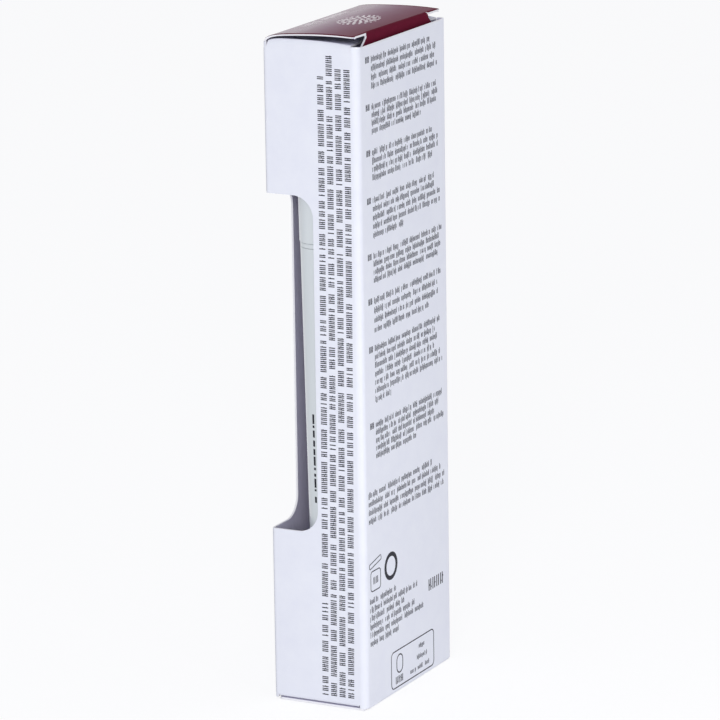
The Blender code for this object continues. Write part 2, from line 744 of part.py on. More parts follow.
def applicator_tip(pen):
    """The soft slanted tip with its outlet."""
    profile = [
        *quarter(TIP_RADIUS - EDGE_ROUND, TIP_HEAD - EDGE_ROUND, EDGE_ROUND, 90, 0),
        (TIP_RADIUS, TIP_FOOT),
        (CHANNEL_RADIUS, TIP_FOOT),
        (CHANNEL_RADIUS, TIP_HEAD),
    ]
    tip = turned_piece("applicator_tip", profile, SOFT_TIP, pen, steps=TURN_STEPS // 2, closed=True)
    side = TIP_LENGTH + CUT_OVERRUN
    rise = TIP_RADIUS * math.tan(TIP_SLANT)
    reach = side / 2 / math.cos(TIP_SLANT)
    above = (0, 0, TIP_HEAD - rise - EDGE_ROUND + reach)
    cut(tip, cutter_box("tip_slant", (side, side, side), pen, above, (TIP_SLANT, 0, 0)))


def cap_shell(pen):
    """The long cap, a little wider than the barrel, with a domed end."""
    dome_start = PEN_LENGTH - CAP_DOME
    bore_top = PEN_LENGTH - CAP_TOP_WALL - CAP_DOME
    profile = [
        (0, PEN_LENGTH),
        *quarter(CAP_RADIUS - CAP_DOME, dome_start, CAP_DOME, 80, 0),
        (CAP_RADIUS, CAP_LIP + EDGE_CUT),
        (CAP_RADIUS - EDGE_CUT, CAP_LIP),
        (CAP_BORE, CAP_LIP),
        (CAP_BORE, bore_top),
        (0, bore_top),
    ]
    turned_piece("cap_shell", profile, PEN_WHITE, pen)


def inner_cap(pen):
    """The liner that grips the neck and seals over the tip."""
    rim = CAP_BORE - SNUG_FIT
    grip = NECK_RADIUS + SNUG_FIT
    shoulder = NOZZLE_TOP + SEAT_GAP
    profile = [
        (0, INNER_CAP_HEAD),
        (rim - EDGE_CUT, INNER_CAP_HEAD),
        (rim, INNER_CAP_HEAD - EDGE_CUT),
        (rim, INNER_CAP_FOOT),
        (grip, INNER_CAP_FOOT),
        (grip, shoulder),
        (TIP_ROOM_RADIUS, shoulder + INNER_CAP_SHOULDER),
        (TIP_ROOM_RADIUS, INNER_CAP_ROOM_TOP),
        (0, INNER_CAP_ROOM_TOP),
    ]
    turned_piece("inner_cap", profile, NATURAL_PLASTIC, pen)


def cap_seal(pen):
    """The foam disc above the tip, inside the inner cap."""
    high = INNER_CAP_ROOM_TOP - SNUG_FIT
    low = high - CAP_SEAL_THICKNESS
    radius = TIP_ROOM_RADIUS - SNUG_FIT
    profile = [(0, high), (radius, high), (radius, low), (0, low)]
    turned_piece("cap_seal", profile, SEAL_RUBBER, pen)


front_panel()
back_panel()
window_side_panel()
plain_side_panel()
glue_flap()
closure("top", CARTON_HEIGHT, 0, TOP_LID_AJAR, TOP_TUCK_LEAN, BOARD_BURGUNDY)
closure("bottom", 0, math.pi, BOTTOM_LID_AJAR, BOTTOM_TUCK_LEAN, BOARD_WHITE)

PEN_FRAME = frame("pen_axis", None, (PEN_X, PEN_FOOT_BEHIND_MIDDLE, PEN_FOOT_Z), (PEN_LEAN, 0, 0))
for make in (
    twist_knob,
    knob_end_plug,
    drive_sleeve,
    click_ring,
    ratchet_ring,
    screw_nut,
    lead_screw,
    piston,
    piston_ring,
    balm_fill,
    barrel,
    collar_ring,
    nozzle_holder,
    applicator_tip,
    cap_shell,
    inner_cap,
    cap_seal,
):
    make(PEN_FRAME)
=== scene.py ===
"""A windowed folding carton with its burgundy lid a little ajar, and a nail care pen behind the window."""
import math

import bmesh
import bpy
import numpy as np
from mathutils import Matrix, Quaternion, Vector


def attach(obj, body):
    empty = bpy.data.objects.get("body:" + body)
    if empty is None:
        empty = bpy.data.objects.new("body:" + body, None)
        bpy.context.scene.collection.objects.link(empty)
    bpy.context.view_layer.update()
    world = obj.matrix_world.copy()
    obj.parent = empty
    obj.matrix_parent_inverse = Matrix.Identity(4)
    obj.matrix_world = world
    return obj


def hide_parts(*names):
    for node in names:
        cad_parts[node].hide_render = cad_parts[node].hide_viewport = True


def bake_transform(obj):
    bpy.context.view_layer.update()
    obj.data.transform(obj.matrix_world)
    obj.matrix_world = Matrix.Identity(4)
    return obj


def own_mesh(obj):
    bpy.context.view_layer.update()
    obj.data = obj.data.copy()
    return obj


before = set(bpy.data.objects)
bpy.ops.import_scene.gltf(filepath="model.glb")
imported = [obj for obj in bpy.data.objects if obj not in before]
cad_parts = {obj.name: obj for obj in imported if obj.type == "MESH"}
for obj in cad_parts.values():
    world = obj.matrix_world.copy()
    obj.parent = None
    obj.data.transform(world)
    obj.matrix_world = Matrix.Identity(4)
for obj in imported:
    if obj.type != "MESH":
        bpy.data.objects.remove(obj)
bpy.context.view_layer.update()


# The sleeve: the four walls, one strip of coated folding board creased at the upright edges. One window
# with round corners is cut through the narrow side and the front, across the fold between them.
MM = 0.001
BOARD = 0.45
WIDE, DEEP, HIGH = 43.0, 23.2, 150.0
CREASE = 0.75

# The sleeve laid out flat: distance u round it starts in the middle of the fold between front and window side,
# and folds and walls take turns. Each mark has the fold's radius, the direction outwards and the centre there.
FOLD_RADII = np.array([0.8, 1.7, 0.8, 0.8])
FOLD_RUNS = FOLD_RADII * math.pi / 2
WALL_RUNS = np.array([DEEP, WIDE, DEEP, WIDE]) - FOLD_RADII - np.roll(FOLD_RADII, -1)
STEPS = np.stack([FOLD_RUNS, WALL_RUNS], axis=1).ravel()
GIRTH = STEPS.sum()
FOLD_MARKS = np.concatenate([[0], FOLD_RUNS[0] / 2 + np.cumsum([0, *STEPS[1:]]), [GIRTH]])
MARK_RADII = np.repeat(FOLD_RADII[[0, 1, 2, 3, 0]], 2)
FOLD_ANGLES = np.array([-45, 0, 0, 90, 90, 180, 180, 270, 270, 315])
FOLD_X = np.array([1, 1, 1, 1, -1, -1, -1, -1, 1, 1]) * (WIDE / 2 - MARK_RADII)
FOLD_Y = np.array([-1, -1, 1, 1, 1, 1, -1, -1, -1, -1]) * (DEEP / 2 - MARK_RADII)
SIDE_U, BACK_U, PLAIN_U, FRONT_U, LAST_U = FOLD_MARKS[[1, 3, 5, 7, 8]]

# Where the dust flaps' folds begin and end: as y, and as distance round the sleeve.
DUST_ENDS = {"top": (-DEEP / 2 + 0.85, DEEP / 2 - 1.75), "bottom": (-DEEP / 2 + 1.75, DEEP / 2 - 0.85)}
SIDE_HEAD = SIDE_U - FOLD_RADII[0] + DEEP / 2 + np.array(DUST_ENDS["top"])
SIDE_FOOT = SIDE_U - FOLD_RADII[0] + DEEP / 2 - np.array(DUST_ENDS["bottom"])[::-1]
PLAIN_HEAD = PLAIN_U - FOLD_RADII[2] + DEEP / 2 - np.array(DUST_ENDS["top"])[::-1]
PLAIN_FOOT = PLAIN_U - FOLD_RADII[2] + DEEP / 2 + np.array(DUST_ENDS["bottom"])

# Where the knife ends the walls, as distance round the sleeve and height. Under a dust flap a wall stops two
# creases short of the carton's end, at a lid's hinge one, and elsewhere close to it. The back wall's top edge
# is broken.
KNIFE_STEP = 0.04
WALL_HEAD, NEAR_HEAD, BACK_HEAD, PLAIN_FOLD_HEAD = 149.9, 150.1, 149.78, 149.8
DUST_HEAD, HINGE_HEAD = HIGH - 2 * CREASE, HIGH - CREASE
WALL_FOOT, FRONT_FOOT, DUST_FOOT, HINGE_FOOT = 0.5, 0.3, 2 * CREASE, CREASE
HEAD_RUN = np.array([
    (0, WALL_HEAD), (SIDE_HEAD[0] - KNIFE_STEP, WALL_HEAD), (SIDE_HEAD[0], DUST_HEAD), (SIDE_HEAD[1], DUST_HEAD),
    (SIDE_HEAD[1] + KNIFE_STEP, NEAR_HEAD), (BACK_U, 149.85), (BACK_U + 1.5, BACK_HEAD), (PLAIN_U - 1.5, BACK_HEAD),
    (PLAIN_U - 0.6, PLAIN_FOLD_HEAD), (PLAIN_HEAD[0] - KNIFE_STEP, PLAIN_FOLD_HEAD), (PLAIN_HEAD[0], DUST_HEAD),
    (PLAIN_HEAD[1], DUST_HEAD), (PLAIN_HEAD[1] + KNIFE_STEP, WALL_HEAD), (FRONT_U - 0.3, WALL_HEAD),
    (FRONT_U - 0.1, HINGE_HEAD), (LAST_U + 0.1, HINGE_HEAD), (LAST_U + 0.3, WALL_HEAD), (GIRTH, WALL_HEAD)])
FOOT_RUN = np.array([
    (0, WALL_FOOT), (SIDE_FOOT[0] - KNIFE_STEP, WALL_FOOT), (SIDE_FOOT[0], DUST_FOOT), (SIDE_FOOT[1], DUST_FOOT),
    (SIDE_FOOT[1] + KNIFE_STEP, WALL_FOOT), (BACK_U + 0.2, WALL_FOOT), (BACK_U + 0.24, HINGE_FOOT),
    (PLAIN_U - 1.35, HINGE_FOOT), (PLAIN_U - 1.1, WALL_FOOT), (PLAIN_FOOT[0] - KNIFE_STEP, WALL_FOOT),
    (PLAIN_FOOT[0], DUST_FOOT), (PLAIN_FOOT[1], DUST_FOOT), (PLAIN_FOOT[1] + KNIFE_STEP, WALL_FOOT),
    (FRONT_U, WALL_FOOT), (FRONT_U + 0.2, FRONT_FOOT), (LAST_U - 0.2, FRONT_FOOT), (LAST_U, WALL_FOOT),
    (GIRTH, WALL_FOOT)])
EDGE_BREAK, BREAK_RUN = 0.22, (BACK_U + 0.01, PLAIN_U - 1.4)

# The window's height, and how far it reaches round the sleeve from the fold's middle on either side.
WINDOW_FOOT, WINDOW_HEAD, WINDOW_CORNER = 40.0, 116.3, 5.0
WINDOW_ON_SIDE = 11.7 - FOLD_RADII[0] + SIDE_U
WINDOW_ON_FRONT = 12.0 - FOLD_RADII[0] + SIDE_U
WINDOW_MARGIN = 1.0
CORNER_PARTS = 12
SMOOTH_UP_TO = math.radians(38)


def linear(hex_colour):
    """Linear RGBA of an sRGB hex colour: a channel up to 0.04045 is divided by 12.92, and a higher one plus
    0.055 is divided by 1.055 and raised to the power 2.4."""
    channels = np.array([int(hex_colour[at:at + 2], 16) for at in (0, 2, 4)]) / 255
    curve = np.where(channels <= 0.04045, channels / 12.92, ((channels + 0.055) / 1.055) ** 2.4)
    return (*curve.tolist(), 1.0)


def add_node(tree, kind, settings, links):
    """Adds one node, gives it its settings and unlinked inputs, and links outputs to its other inputs."""
    node = tree.nodes.new(kind)
    for name, value in settings.items():
        if isinstance(name, int) or name in node.inputs:
            node.inputs[name].default_value = value
        else:
            setattr(node, name, value)
    for name, output in links.items():
        tree.links.new(output, node.inputs[name])
    return node


def new_finish(name, colour, **sockets):
    """A material with one Principled shader, its colour and plain sockets set. Gives material, tree, shader."""
    finish = bpy.data.materials.new(name)
    finish.use_nodes = True
    shader = finish.node_tree.nodes["Principled BSDF"]
    shader.inputs["Base Color"].default_value = linear(colour)
    for socket, value in sockets.items():
        shader.inputs[socket.replace("_", " ")].default_value = value
    return finish, finish.node_tree, shader


def grid_faces(rows, columns):
    """Four-cornered faces of a grid of points stored row by row."""
    index = np.arange(rows * columns).reshape(rows, columns)
    return np.stack([index[:-1, :-1], index[1:, :-1], index[1:, 1:], index[:-1, 1:]], axis=-1).reshape(-1, 4)


def put_piece(name, points, faces, finishes, smooth=True, face_outwards=False):
    """An object at the origin from points in millimetres. Points in one place become one."""
    mesh = bpy.data.meshes.new(name)
    mesh.from_pydata((points * MM).tolist(), [], [corners for part in faces for corners in part.tolist()])
    work = bmesh.new()
    work.from_mesh(mesh)
    bmesh.ops.remove_doubles(work, verts=work.verts, dist=0.002 * MM)
    if face_outwards:
        bmesh.ops.recalc_face_normals(work, faces=work.faces)
    work.to_mesh(mesh)
    work.free()
    mesh.polygons.foreach_set("use_smooth", np.full(len(mesh.polygons), smooth))
    mesh.set_sharp_from_angle(angle=SMOOTH_UP_TO)
    piece = bpy.data.objects.new(name, mesh)
    bpy.context.scene.collection.objects.link(piece)
    for finish in finishes:
        mesh.materials.append(finish)
    return piece


def board_wall(piece):
    """Gives a sheet the board's thickness on its inner side, with its own inner face and cut edge, and keeps
    the cut edges sharp."""
    wall = piece.modifiers.new("Board", "SOLIDIFY")
    wall.thickness = BOARD * MM
    wall.offset = -1
    wall.use_even_offset = True
    wall.material_offset = 1
    wall.material_offset_rim = 2
    thick = bpy.data.meshes.new_from_object(piece.evaluated_get(bpy.context.evaluated_depsgraph_get()))
    piece.modifiers.clear()
    piece.data = thick
    thick.set_sharp_from_angle(angle=SMOOTH_UP_TO)


def wrap(u, lift):
    """x and y at distance u round the sleeve's outside, from the middle of the fold between front and window
    side. It is the place on a rectangle smaller by the fold's radius, plus that radius and the lift along a
    direction that turns by 90 degrees over each fold."""
    way = np.mod(u, GIRTH)
    angle = np.radians(np.interp(way, FOLD_MARKS, FOLD_ANGLES))
    reach = np.interp(way, FOLD_MARKS, MARK_RADII) + lift
    return (np.interp(way, FOLD_MARKS, FOLD_X) + reach * np.cos(angle),
            np.interp(way, FOLD_MARKS, FOLD_Y) + reach * np.sin(angle))


def wrap_points(u, z):
    """Points on the sleeve's outside for distances u and heights z, with z kept between the wall's cut ends.
    The knife breaks the back wall's top edge: it draws in by the height above the start of the break."""
    way = np.mod(u, GIRTH)
    head = np.interp(way, *HEAD_RUN.T)
    z = np.clip(z, np.interp(way, *FOOT_RUN.T), head)
    broken = (way > BREAK_RUN[0]) & (way < BREAK_RUN[1])
    x, y = wrap(u, -np.where(broken, np.clip(z - head + EDGE_BREAK, 0, EDGE_BREAK), 0))
    return np.stack([x, y, z], axis=-1)


def sleeve_mesh():
    """The sleeve's outside as a grid of u and z lines without the window's rectangle, and a ring that joins
    that rectangle to the window's round outline. At a corner the ring's outer point lies in the same
    direction as its inner one: radius over the larger of sine and cosine."""
    seam = (FRONT_U + LAST_U) / 2 - GIRTH
    low_u, high_u = -WINDOW_ON_FRONT, WINDOW_ON_SIDE
    left, right = low_u + WINDOW_CORNER, high_u - WINDOW_CORNER
    lower, upper = WINDOW_FOOT + WINDOW_CORNER, WINDOW_HEAD - WINDOW_CORNER
    turn = np.radians(np.linspace(0, 90, CORNER_PARTS + 1))
    stretch = (WINDOW_CORNER + WINDOW_MARGIN) / np.maximum(np.cos(turn), np.sin(turn))
    fan = np.unique(np.round(np.concatenate([stretch * np.cos(turn), [0]]), 6))
    folds = np.stack([FOLD_MARKS[[0, 2, 4, 6]] - FOLD_RUNS * [0.5, 0, 0, 0], FOLD_RUNS], axis=1)
    needed = np.concatenate([*[start + run * np.linspace(0, 1, 11) for start, run in folds],
                             HEAD_RUN[1:-1, 0], FOOT_RUN[1:-1, 0], right + fan, left - fan, [seam]])
    needed = np.where(needed > seam + GIRTH, needed - GIRTH, needed)
    spare = np.linspace(seam, seam + GIRTH, 60)[1:-1]
    spare = spare[np.abs(spare[:, None] - needed).min(axis=1) > 0.8]
    u_lines = np.unique(np.round(np.concatenate([needed, spare, [seam + GIRTH]]), 6))
    u_lines = u_lines[np.diff(u_lines, prepend=-np.inf) > 1e-4]
    z_lines = np.unique(np.round(np.concatenate([
        [0, 4], np.linspace(8, 36, 5), np.linspace(48, 110, 9), np.linspace(122, 144, 4),
        [147, BACK_HEAD - EDGE_BREAK, HIGH], lower - fan, upper + fan]), 6))
    grid_u, grid_z = np.meshgrid(u_lines, z_lines, indexing="ij")
    faces = grid_faces(len(u_lines), len(z_lines))
    points = np.stack([grid_u.ravel(), grid_z.ravel()], axis=1)
    middle = points[faces].mean(axis=1)
    inside = ((middle[:, 0] > low_u - WINDOW_MARGIN) & (middle[:, 0] < high_u + WINDOW_MARGIN)
              & (middle[:, 1] > WINDOW_FOOT - WINDOW_MARGIN) & (middle[:, 1] < WINDOW_HEAD + WINDOW_MARGIN))
    straight_u = u_lines[(u_lines > left) & (u_lines < right)]
    straight_z = z_lines[(z_lines > lower) & (z_lines < upper)]
    inner, outer = [], []
    for quarter, (centre, run, edge, margin) in enumerate((
            ((right, upper), straight_u[::-1], WINDOW_HEAD, (0, WINDOW_MARGIN)),
            ((left, upper), straight_z[::-1], low_u, (-WINDOW_MARGIN, 0)),
            ((left, lower), straight_u, WINDOW_FOOT, (0, -WINDOW_MARGIN)),
            ((right, lower), straight_z, high_u, (WINDOW_MARGIN, 0)))):
        angle = turn + quarter * math.pi / 2
        way = np.stack([np.cos(angle), np.sin(angle)], axis=1)
        level = np.full(len(run), edge)
        straight = np.stack([level, run] if quarter % 2 else [run, level], axis=1)
        inner += [centre + WINDOW_CORNER * way, straight]
        outer += [centre + stretch[:, None] * way, straight + margin]
    inner, outer = np.concatenate(inner), np.concatenate(outer)
    count = len(inner)
    here, after = np.arange(count), np.roll(np.arange(count), -1)
    ring = np.stack([here, here + count, after + count, after], axis=1) + len(points)
    points = np.concatenate([points, inner, outer])
    faces = np.concatenate([faces[~inside], ring])
    used, renumbered = np.unique(faces, return_inverse=True)
    points = points[used]
    return wrap_points(points[:, 0], points[:, 1]), renumbered.reshape(-1, 4)


# Coated folding boxboard: a calendered clay coat over white fibre. The coat is smooth, satin and bluish, and
# faintly mottled in tone and gloss where the fibre lies closer under it.
coated_board, tree, shader = new_finish("coated_white_folding_board", "ECEEF6", Roughness=0.38, IOR=1.5,
                                        Specular_IOR_Level=0.35)
place = add_node(tree, "ShaderNodeTexCoord", {}, {})
mottle = add_node(tree, "ShaderNodeTexNoise", {"Scale": 1 / (5 * MM), "Detail": 3.0, "Roughness": 0.6},
                  {"Vector": place.outputs["Object"]})
tint = add_node(tree, "ShaderNodeMix", {"data_type": "RGBA", 6: linear("E6E8F3"), 7: linear("F0F2F9")},
                {0: mottle.outputs["Fac"]})
peel = add_node(tree, "ShaderNodeTexNoise", {"Scale": 1 / (0.5 * MM), "Detail": 2.0},
                {"Vector": place.outputs["Object"]})
dull = add_node(tree, "ShaderNodeMapRange", {"To Min": 0.32, "To Max": 0.46}, {"Value": mottle.outputs["Fac"]})
ripple = add_node(tree, "ShaderNodeBump", {"Strength": 0.08, "Distance": 0.02 * MM},
                  {"Height": peel.outputs["Fac"]})
tree.links.new(tint.outputs[2], shader.inputs["Base Color"])
tree.links.new(dull.outputs["Result"], shader.inputs["Roughness"])
tree.links.new(ripple.outputs["Normal"], shader.inputs["Normal"])

# The board's uncoated reverse: greyish white pulp with fibres along the grain, quite matt.
board_reverse, tree, shader = new_finish("uncoated_board_reverse", "CDCBDA", Roughness=0.85, IOR=1.5,
                                         Specular_IOR_Level=0.2)
place = add_node(tree, "ShaderNodeTexCoord", {}, {})
grain = add_node(tree, "ShaderNodeMapping", {"Scale": (1.0, 1.0, 0.25)}, {"Vector": place.outputs["Object"]})
fibre = add_node(tree, "ShaderNodeTexNoise", {"Scale": 1 / (0.6 * MM), "Detail": 4.0, "Roughness": 0.7},
                 {"Vector": grain.outputs["Vector"]})
pulp = add_node(tree, "ShaderNodeMix", {"data_type": "RGBA", 6: linear("C9C5DC"), 7: linear("E0DCEE")},
                {0: fibre.outputs["Fac"]})
nap = add_node(tree, "ShaderNodeBump", {"Strength": 0.25, "Distance": 0.03 * MM}, {"Height": fibre.outputs["Fac"]})
tree.links.new(pulp.outputs[2], shader.inputs["Base Color"])
tree.links.new(nap.outputs["Normal"], shader.inputs["Normal"])

# The die-cut edge: bare layered fibre, brighter than the coat because it is fresh and matt.
board_edge, tree, shader = new_finish("die_cut_board_edge", "F6F5F8", Roughness=0.95, IOR=1.45,
                                      Specular_IOR_Level=0.1)
place = add_node(tree, "ShaderNodeTexCoord", {}, {})
layers = add_node(tree, "ShaderNodeTexNoise", {"Scale": 1 / (0.15 * MM), "Detail": 2.0},
                  {"Vector": place.outputs["Object"]})
fluff = add_node(tree, "ShaderNodeMix", {"data_type": "RGBA", 6: linear("EAE8EE"), 7: linear("FDFDFE")},
                 {0: layers.outputs["Fac"]})
fray = add_node(tree, "ShaderNodeBump", {"Strength": 0.3, "Distance": 0.03 * MM}, {"Height": layers.outputs["Fac"]})
tree.links.new(fluff.outputs[2], shader.inputs["Base Color"])
tree.links.new(fray.outputs["Normal"], shader.inputs["Normal"])

WHITE_BOARD = (coated_board, board_reverse, board_edge)
points, faces = sleeve_mesh()
sleeve = put_piece("carton_sleeve", points, [faces], WHITE_BOARD)
centres, normals = np.zeros((2, len(sleeve.data.polygons), 3))
sleeve.data.polygons.foreach_get("center", centres.ravel())
sleeve.data.polygons.foreach_get("normal", normals.ravel())
broken_edge = (centres[:, 2] > (BACK_HEAD - EDGE_BREAK) * MM) & (normals[:, 2] > 0.5)
sleeve.data.polygons.foreach_set("material_index", np.where(broken_edge, 2, 0).astype(np.int32))
board_wall(sleeve)
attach(sleeve, "carton")
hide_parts("front_panel", "back_panel", "window_side_panel", "plain_side_panel")


# The print on the two near walls: dark offset ink in small rows of letterless strokes, with the outlines of a
# jar, a ring and a frame. Each mark is a closed film that follows the wall.
INK_LIFTS = (-0.01, 0.02)

# The back wall's blocks of rows: the height of a block's head and foot, and how far from the near corner each
# of its rows stops. All but the last two have a short bold mark before their first row.
BACK_BLOCKS = (
    (146.9, 139.7, (35.6, 38.5, 37.6, 39.0)), (136.4, 129.8, (38.7, 39.2, 39.2, 31.9)),
    (126.3, 119.4, (36.9, 39.4, 39.4, 36.5)), (115.7, 106.6, (38.0, 37.0, 40.0, 40.0, 21.0)),
    (103.2, 96.5, (40.6, 39.1, 40.1, 38.2)), (93.2, 85.3, (39.8, 38.3, 38.3, 33.9)),
    (82.4, 69.6, (39.4, 36.9, 37.4, 36.0, 39.4, 40.3, 14.6)), (65.1, 56.7, (39.9, 38.4, 36.0, 40.3, 26.7)),
    (49.7, 42.4, (34.5, 38.9, 40.8, 40.3)), (25.2, 14.2, (15.8, 26.0, 19.7, 25.0, 28.9, 16.7)),
)
MARKED_BLOCKS, MARK_SPAN, MARKED_START, PLAIN_START = 8, (3.4, 5.5), 6.2, 2.2
LINE_UNDER_HEAD, ROW_HEIGHT = 1.0, 1.3
SMALL_TYPE = {"cap": 1.35, "pitch": 0.74, "weight": 0.17}
BOLD_TYPE = {"cap": 1.4, "pitch": 1.0, "weight": 0.27, "low_share": 1.0}

# Lines round a middle, with half sizes, corner, width and turn: a jar and its open lid, a ring, and a frame
# with an oval in it. Then single rows, as row_strokes takes them: under the oval, in the jar, over the frame,
# and three in the frame.
BACK_LINES = (((5.2, 29.3), (2.4, 2.3), 0.8, 0.24), ((5.1, 33.4), (2.9, 0.55), 0.3, 0.22, 12.0),
              ((12.8, 30.5), (2.75, 2.75), 2.73, 1.0), ((23.2, 5.6), (10.8, 4.3), 1.2, 0.26),
              ((16.6, 6.6), (1.5, 2.1), 1.45, 0.3))
BACK_ROWS = ((14.3, 18.4, 2.1, 1.7, 1.35, 0.28, 1.0), (3.9, 6.7, 28.5, 1.6, 1.3, 0.28, 1.0),
             (31.4, 39.6, 19.4, 2.7, 2.0, 0.4, 1.0), (26.2, 29.4, 7.4, 1.1, 0.75, 0.17),
             (25.2, 30.6, 4.9, 1.1, 0.75, 0.17), (21.8, 33.0, 2.4, 1.1, 0.75, 0.17))

# The window side's rows run upwards: the y of a row's middle and the height where it stops.
SIDE_START, SIDE_ROWS = 2.5, ((2.4, 143.8), (4.55, 148.6), (6.7, 145.8), (8.85, 146.2))
SIDE_TYPE = {"cap": 1.5, "pitch": 0.92, "weight": 0.23, "low_share": 1.0}
DRIFT_START, ROW_DRIFT = 131.0, 1.18


def back_place(a, z, lift):
    """A point of the back wall at distance a from the near corner and height z."""
    x, y = wrap(BACK_U - FOLD_RADII[1] + a, lift)
    return np.stack([x, y, z], axis=-1)


def side_place(y, z, lift):
    """A point of the window side at a given y and height z. The rows are printed a little askew: below the
    height where their drift starts they draw away from the near fold by the drift at the foot times the share
    of the way down to the power 1.5."""
    drift = ROW_DRIFT * np.clip((DRIFT_START - z) / DRIFT_START, 0, 1) ** 1.5
    x, y = wrap(SIDE_U - FOLD_RADII[0] + y - drift + DEEP / 2, lift)
    return np.stack([x, y, z], axis=-1)


def ink_blocks(place, corners):
    """Closed films of one number of corners each, from their flat outlines, n by corners by two. Each outline
    is placed at both lifts of the ink, which makes a floor and a top, and walls join their corners."""
    count, corner_count = corners.shape[:2]
    points = np.stack([place(corners[..., 0], corners[..., 1], lift) for lift in INK_LIFTS], axis=1)
    start = np.arange(count)[:, None] * 2 * corner_count
    ring = np.arange(corner_count)
    beside = np.roll(ring, -1)
    sides = np.stack([ring, beside, beside + corner_count, ring + corner_count], axis=-1)
    return points.reshape(-1, 3), [start + ring[::-1], start + corner_count + ring,
                                   (start[:, :, None] + sides).reshape(-1, 4)]


def ink_loop(place, inner, outer):
    """A closed line of ink between two outlines with as many points each: four loops, up the inner outline and
    down the outer one, each joined to the next."""
    points = np.stack([place(path[:, 0], path[:, 1], lift) for path, lift in
                       ((inner, INK_LIFTS[0]), (inner, INK_LIFTS[1]), (outer, INK_LIFTS[1]), (outer, INK_LIFTS[0]))])
    index = np.arange(4 * len(inner)).reshape(4, -1)
    over = np.roll(index, -1, axis=0)
    faces = np.stack([index, over, np.roll(over, -1, axis=1), np.roll(index, -1, axis=1)], axis=-1)
    return points.reshape(-1, 3), [faces.reshape(-1, 4)]


def joined(parts):
    """Several lists of points and faces as one, each face's point numbers raised by the points before it."""
    starts = np.cumsum([0, *(len(points) for points, _ in parts[:-1])])
    return (np.concatenate([points for points, _ in parts]),
            [faces + start for (_, group), start in zip(parts, starts) for faces in group])


def round_box(middle, half, corner, turn):
    """The outline of a box with round corners, its quarter circles centred a corner's radius inside it."""
    angle = np.radians(np.linspace(0, 90, 6)[None, :] + np.array([0, 90, 180, 270])[:, None])
    sign = np.array([[1, 1], [-1, 1], [-1, -1], [1, -1]])[:, None, :]
    path = sign * (np.array(half) - corner) + corner * np.stack([np.cos(angle), np.sin(angle)], axis=-1)
    turn = math.radians(turn)
    spin = np.array([[math.cos(turn), math.sin(turn)], [-math.sin(turn), math.cos(turn)]])
    return path.reshape(-1, 2) @ spin + middle


def box_line(place, middle, half, corner, width, turn=0.0):
    """A line of ink round a box with round corners, half its width inside the box's outline and half outside."""
    grow = width / 2
    half = np.array(half)
    return ink_loop(place, round_box(middle, half - grow, corner - grow, turn),
                    round_box(middle, half + grow, corner + grow, turn))


def row_strokes(dice, start, stop, foot, cap, pitch, weight, low_share=0.72):
    """The strokes of one printed row from start to stop, n by four corners of along and up. Each pitch has one
    or two upright stems of a weight, as high as the cap or its low share, a few with a tail below the foot.
    Short ticks stand beside some stems, and a gap follows every few pitches."""
    count = max(int((stop - start) / pitch), 2)
    gaps = np.cumsum(dice.integers(4, 11, count))
    spot = start + pitch * (0.5 + np.flatnonzero(~np.isin(np.arange(count), gaps)))
    stems = np.concatenate([spot - 0.34 * pitch, (spot + 0.10 * pitch)[dice.random(len(spot)) < 0.85]])
    top = foot + cap * dice.choice([low_share, low_share, 1.0], len(stems))
    base = foot - cap * dice.choice([0, 0, 0, 0, 0, 0.22 if low_share < 1 else 0.0], len(stems))
    ticked = stems[dice.random(len(stems)) < 0.6]
    level = foot + cap * dice.choice([0.2, 0.4, 0.6], len(ticked))
    low = np.stack([np.concatenate([stems, ticked + weight]), np.concatenate([base, level])], axis=1)
    high = np.stack([np.concatenate([stems + weight, ticked + weight + 0.12 * pitch]),
                     np.concatenate([top, level + 0.13 * cap])], axis=1)
    return np.stack([low, np.stack([high[:, 0], low[:, 1]], axis=1), high,
                     np.stack([low[:, 0], high[:, 1]], axis=1)], axis=1)


# Dark offset ink: nearly black, matt, a little uneven where it sinks into the coat.
print_ink, tree, shader = new_finish("dark_offset_ink", "25252E", Roughness=0.6, IOR=1.5, Specular_IOR_Level=0.2)
place = add_node(tree, "ShaderNodeTexCoord", {}, {})
press = add_node(tree, "ShaderNodeTexNoise", {"Scale": 1 / (0.8 * MM), "Detail": 3.0},
                 {"Vector": place.outputs["Object"]})
ink = add_node(tree, "ShaderNodeMix", {"data_type": "RGBA", 6: linear("17171E"), 7: linear("34343F")},
               {0: press.outputs["Fac"]})
soak = add_node(tree, "ShaderNodeMapRange", {"To Min": 0.5, "To Max": 0.7}, {"Value": press.outputs["Fac"]})
tree.links.new(ink.outputs[2], shader.inputs["Base Color"])
tree.links.new(soak.outputs["Result"], shader.inputs["Roughness"])

dice = np.random.default_rng(7)
marks = []
for number, (head, foot, stops) in enumerate(BACK_BLOCKS):
    marked = number < MARKED_BLOCKS
    first = MARKED_START if marked else PLAIN_START
    for row, stop in enumerate(stops):
        level = head - LINE_UNDER_HEAD - row * (head - foot - ROW_HEIGHT) / (len(stops) - 1)
        marks.append(ink_blocks(back_place, row_strokes(dice, first, stop, level, **SMALL_TYPE)))
        if marked and row == 0:
            marks.append(ink_blocks(back_place, row_strokes(dice, *MARK_SPAN, level, **BOLD_TYPE)))
marks += [box_line(back_place, *line) for line in BACK_LINES]
marks += [ink_blocks(back_place, row_strokes(dice, *row)) for row in BACK_ROWS]
points, faces = joined(marks)
back_print = put_piece("back_wall_print", points, faces, [print_ink], smooth=False, face_outwards=True)
marks = []
for middle, stop in SIDE_ROWS:
    strokes = row_strokes(dice, SIDE_START, stop, -SIDE_TYPE["cap"] / 2, **SIDE_TYPE)
    marks.append(ink_blocks(side_place, np.stack([middle - strokes[..., 1], strokes[..., 0]], axis=-1)))
points, faces = joined(marks)
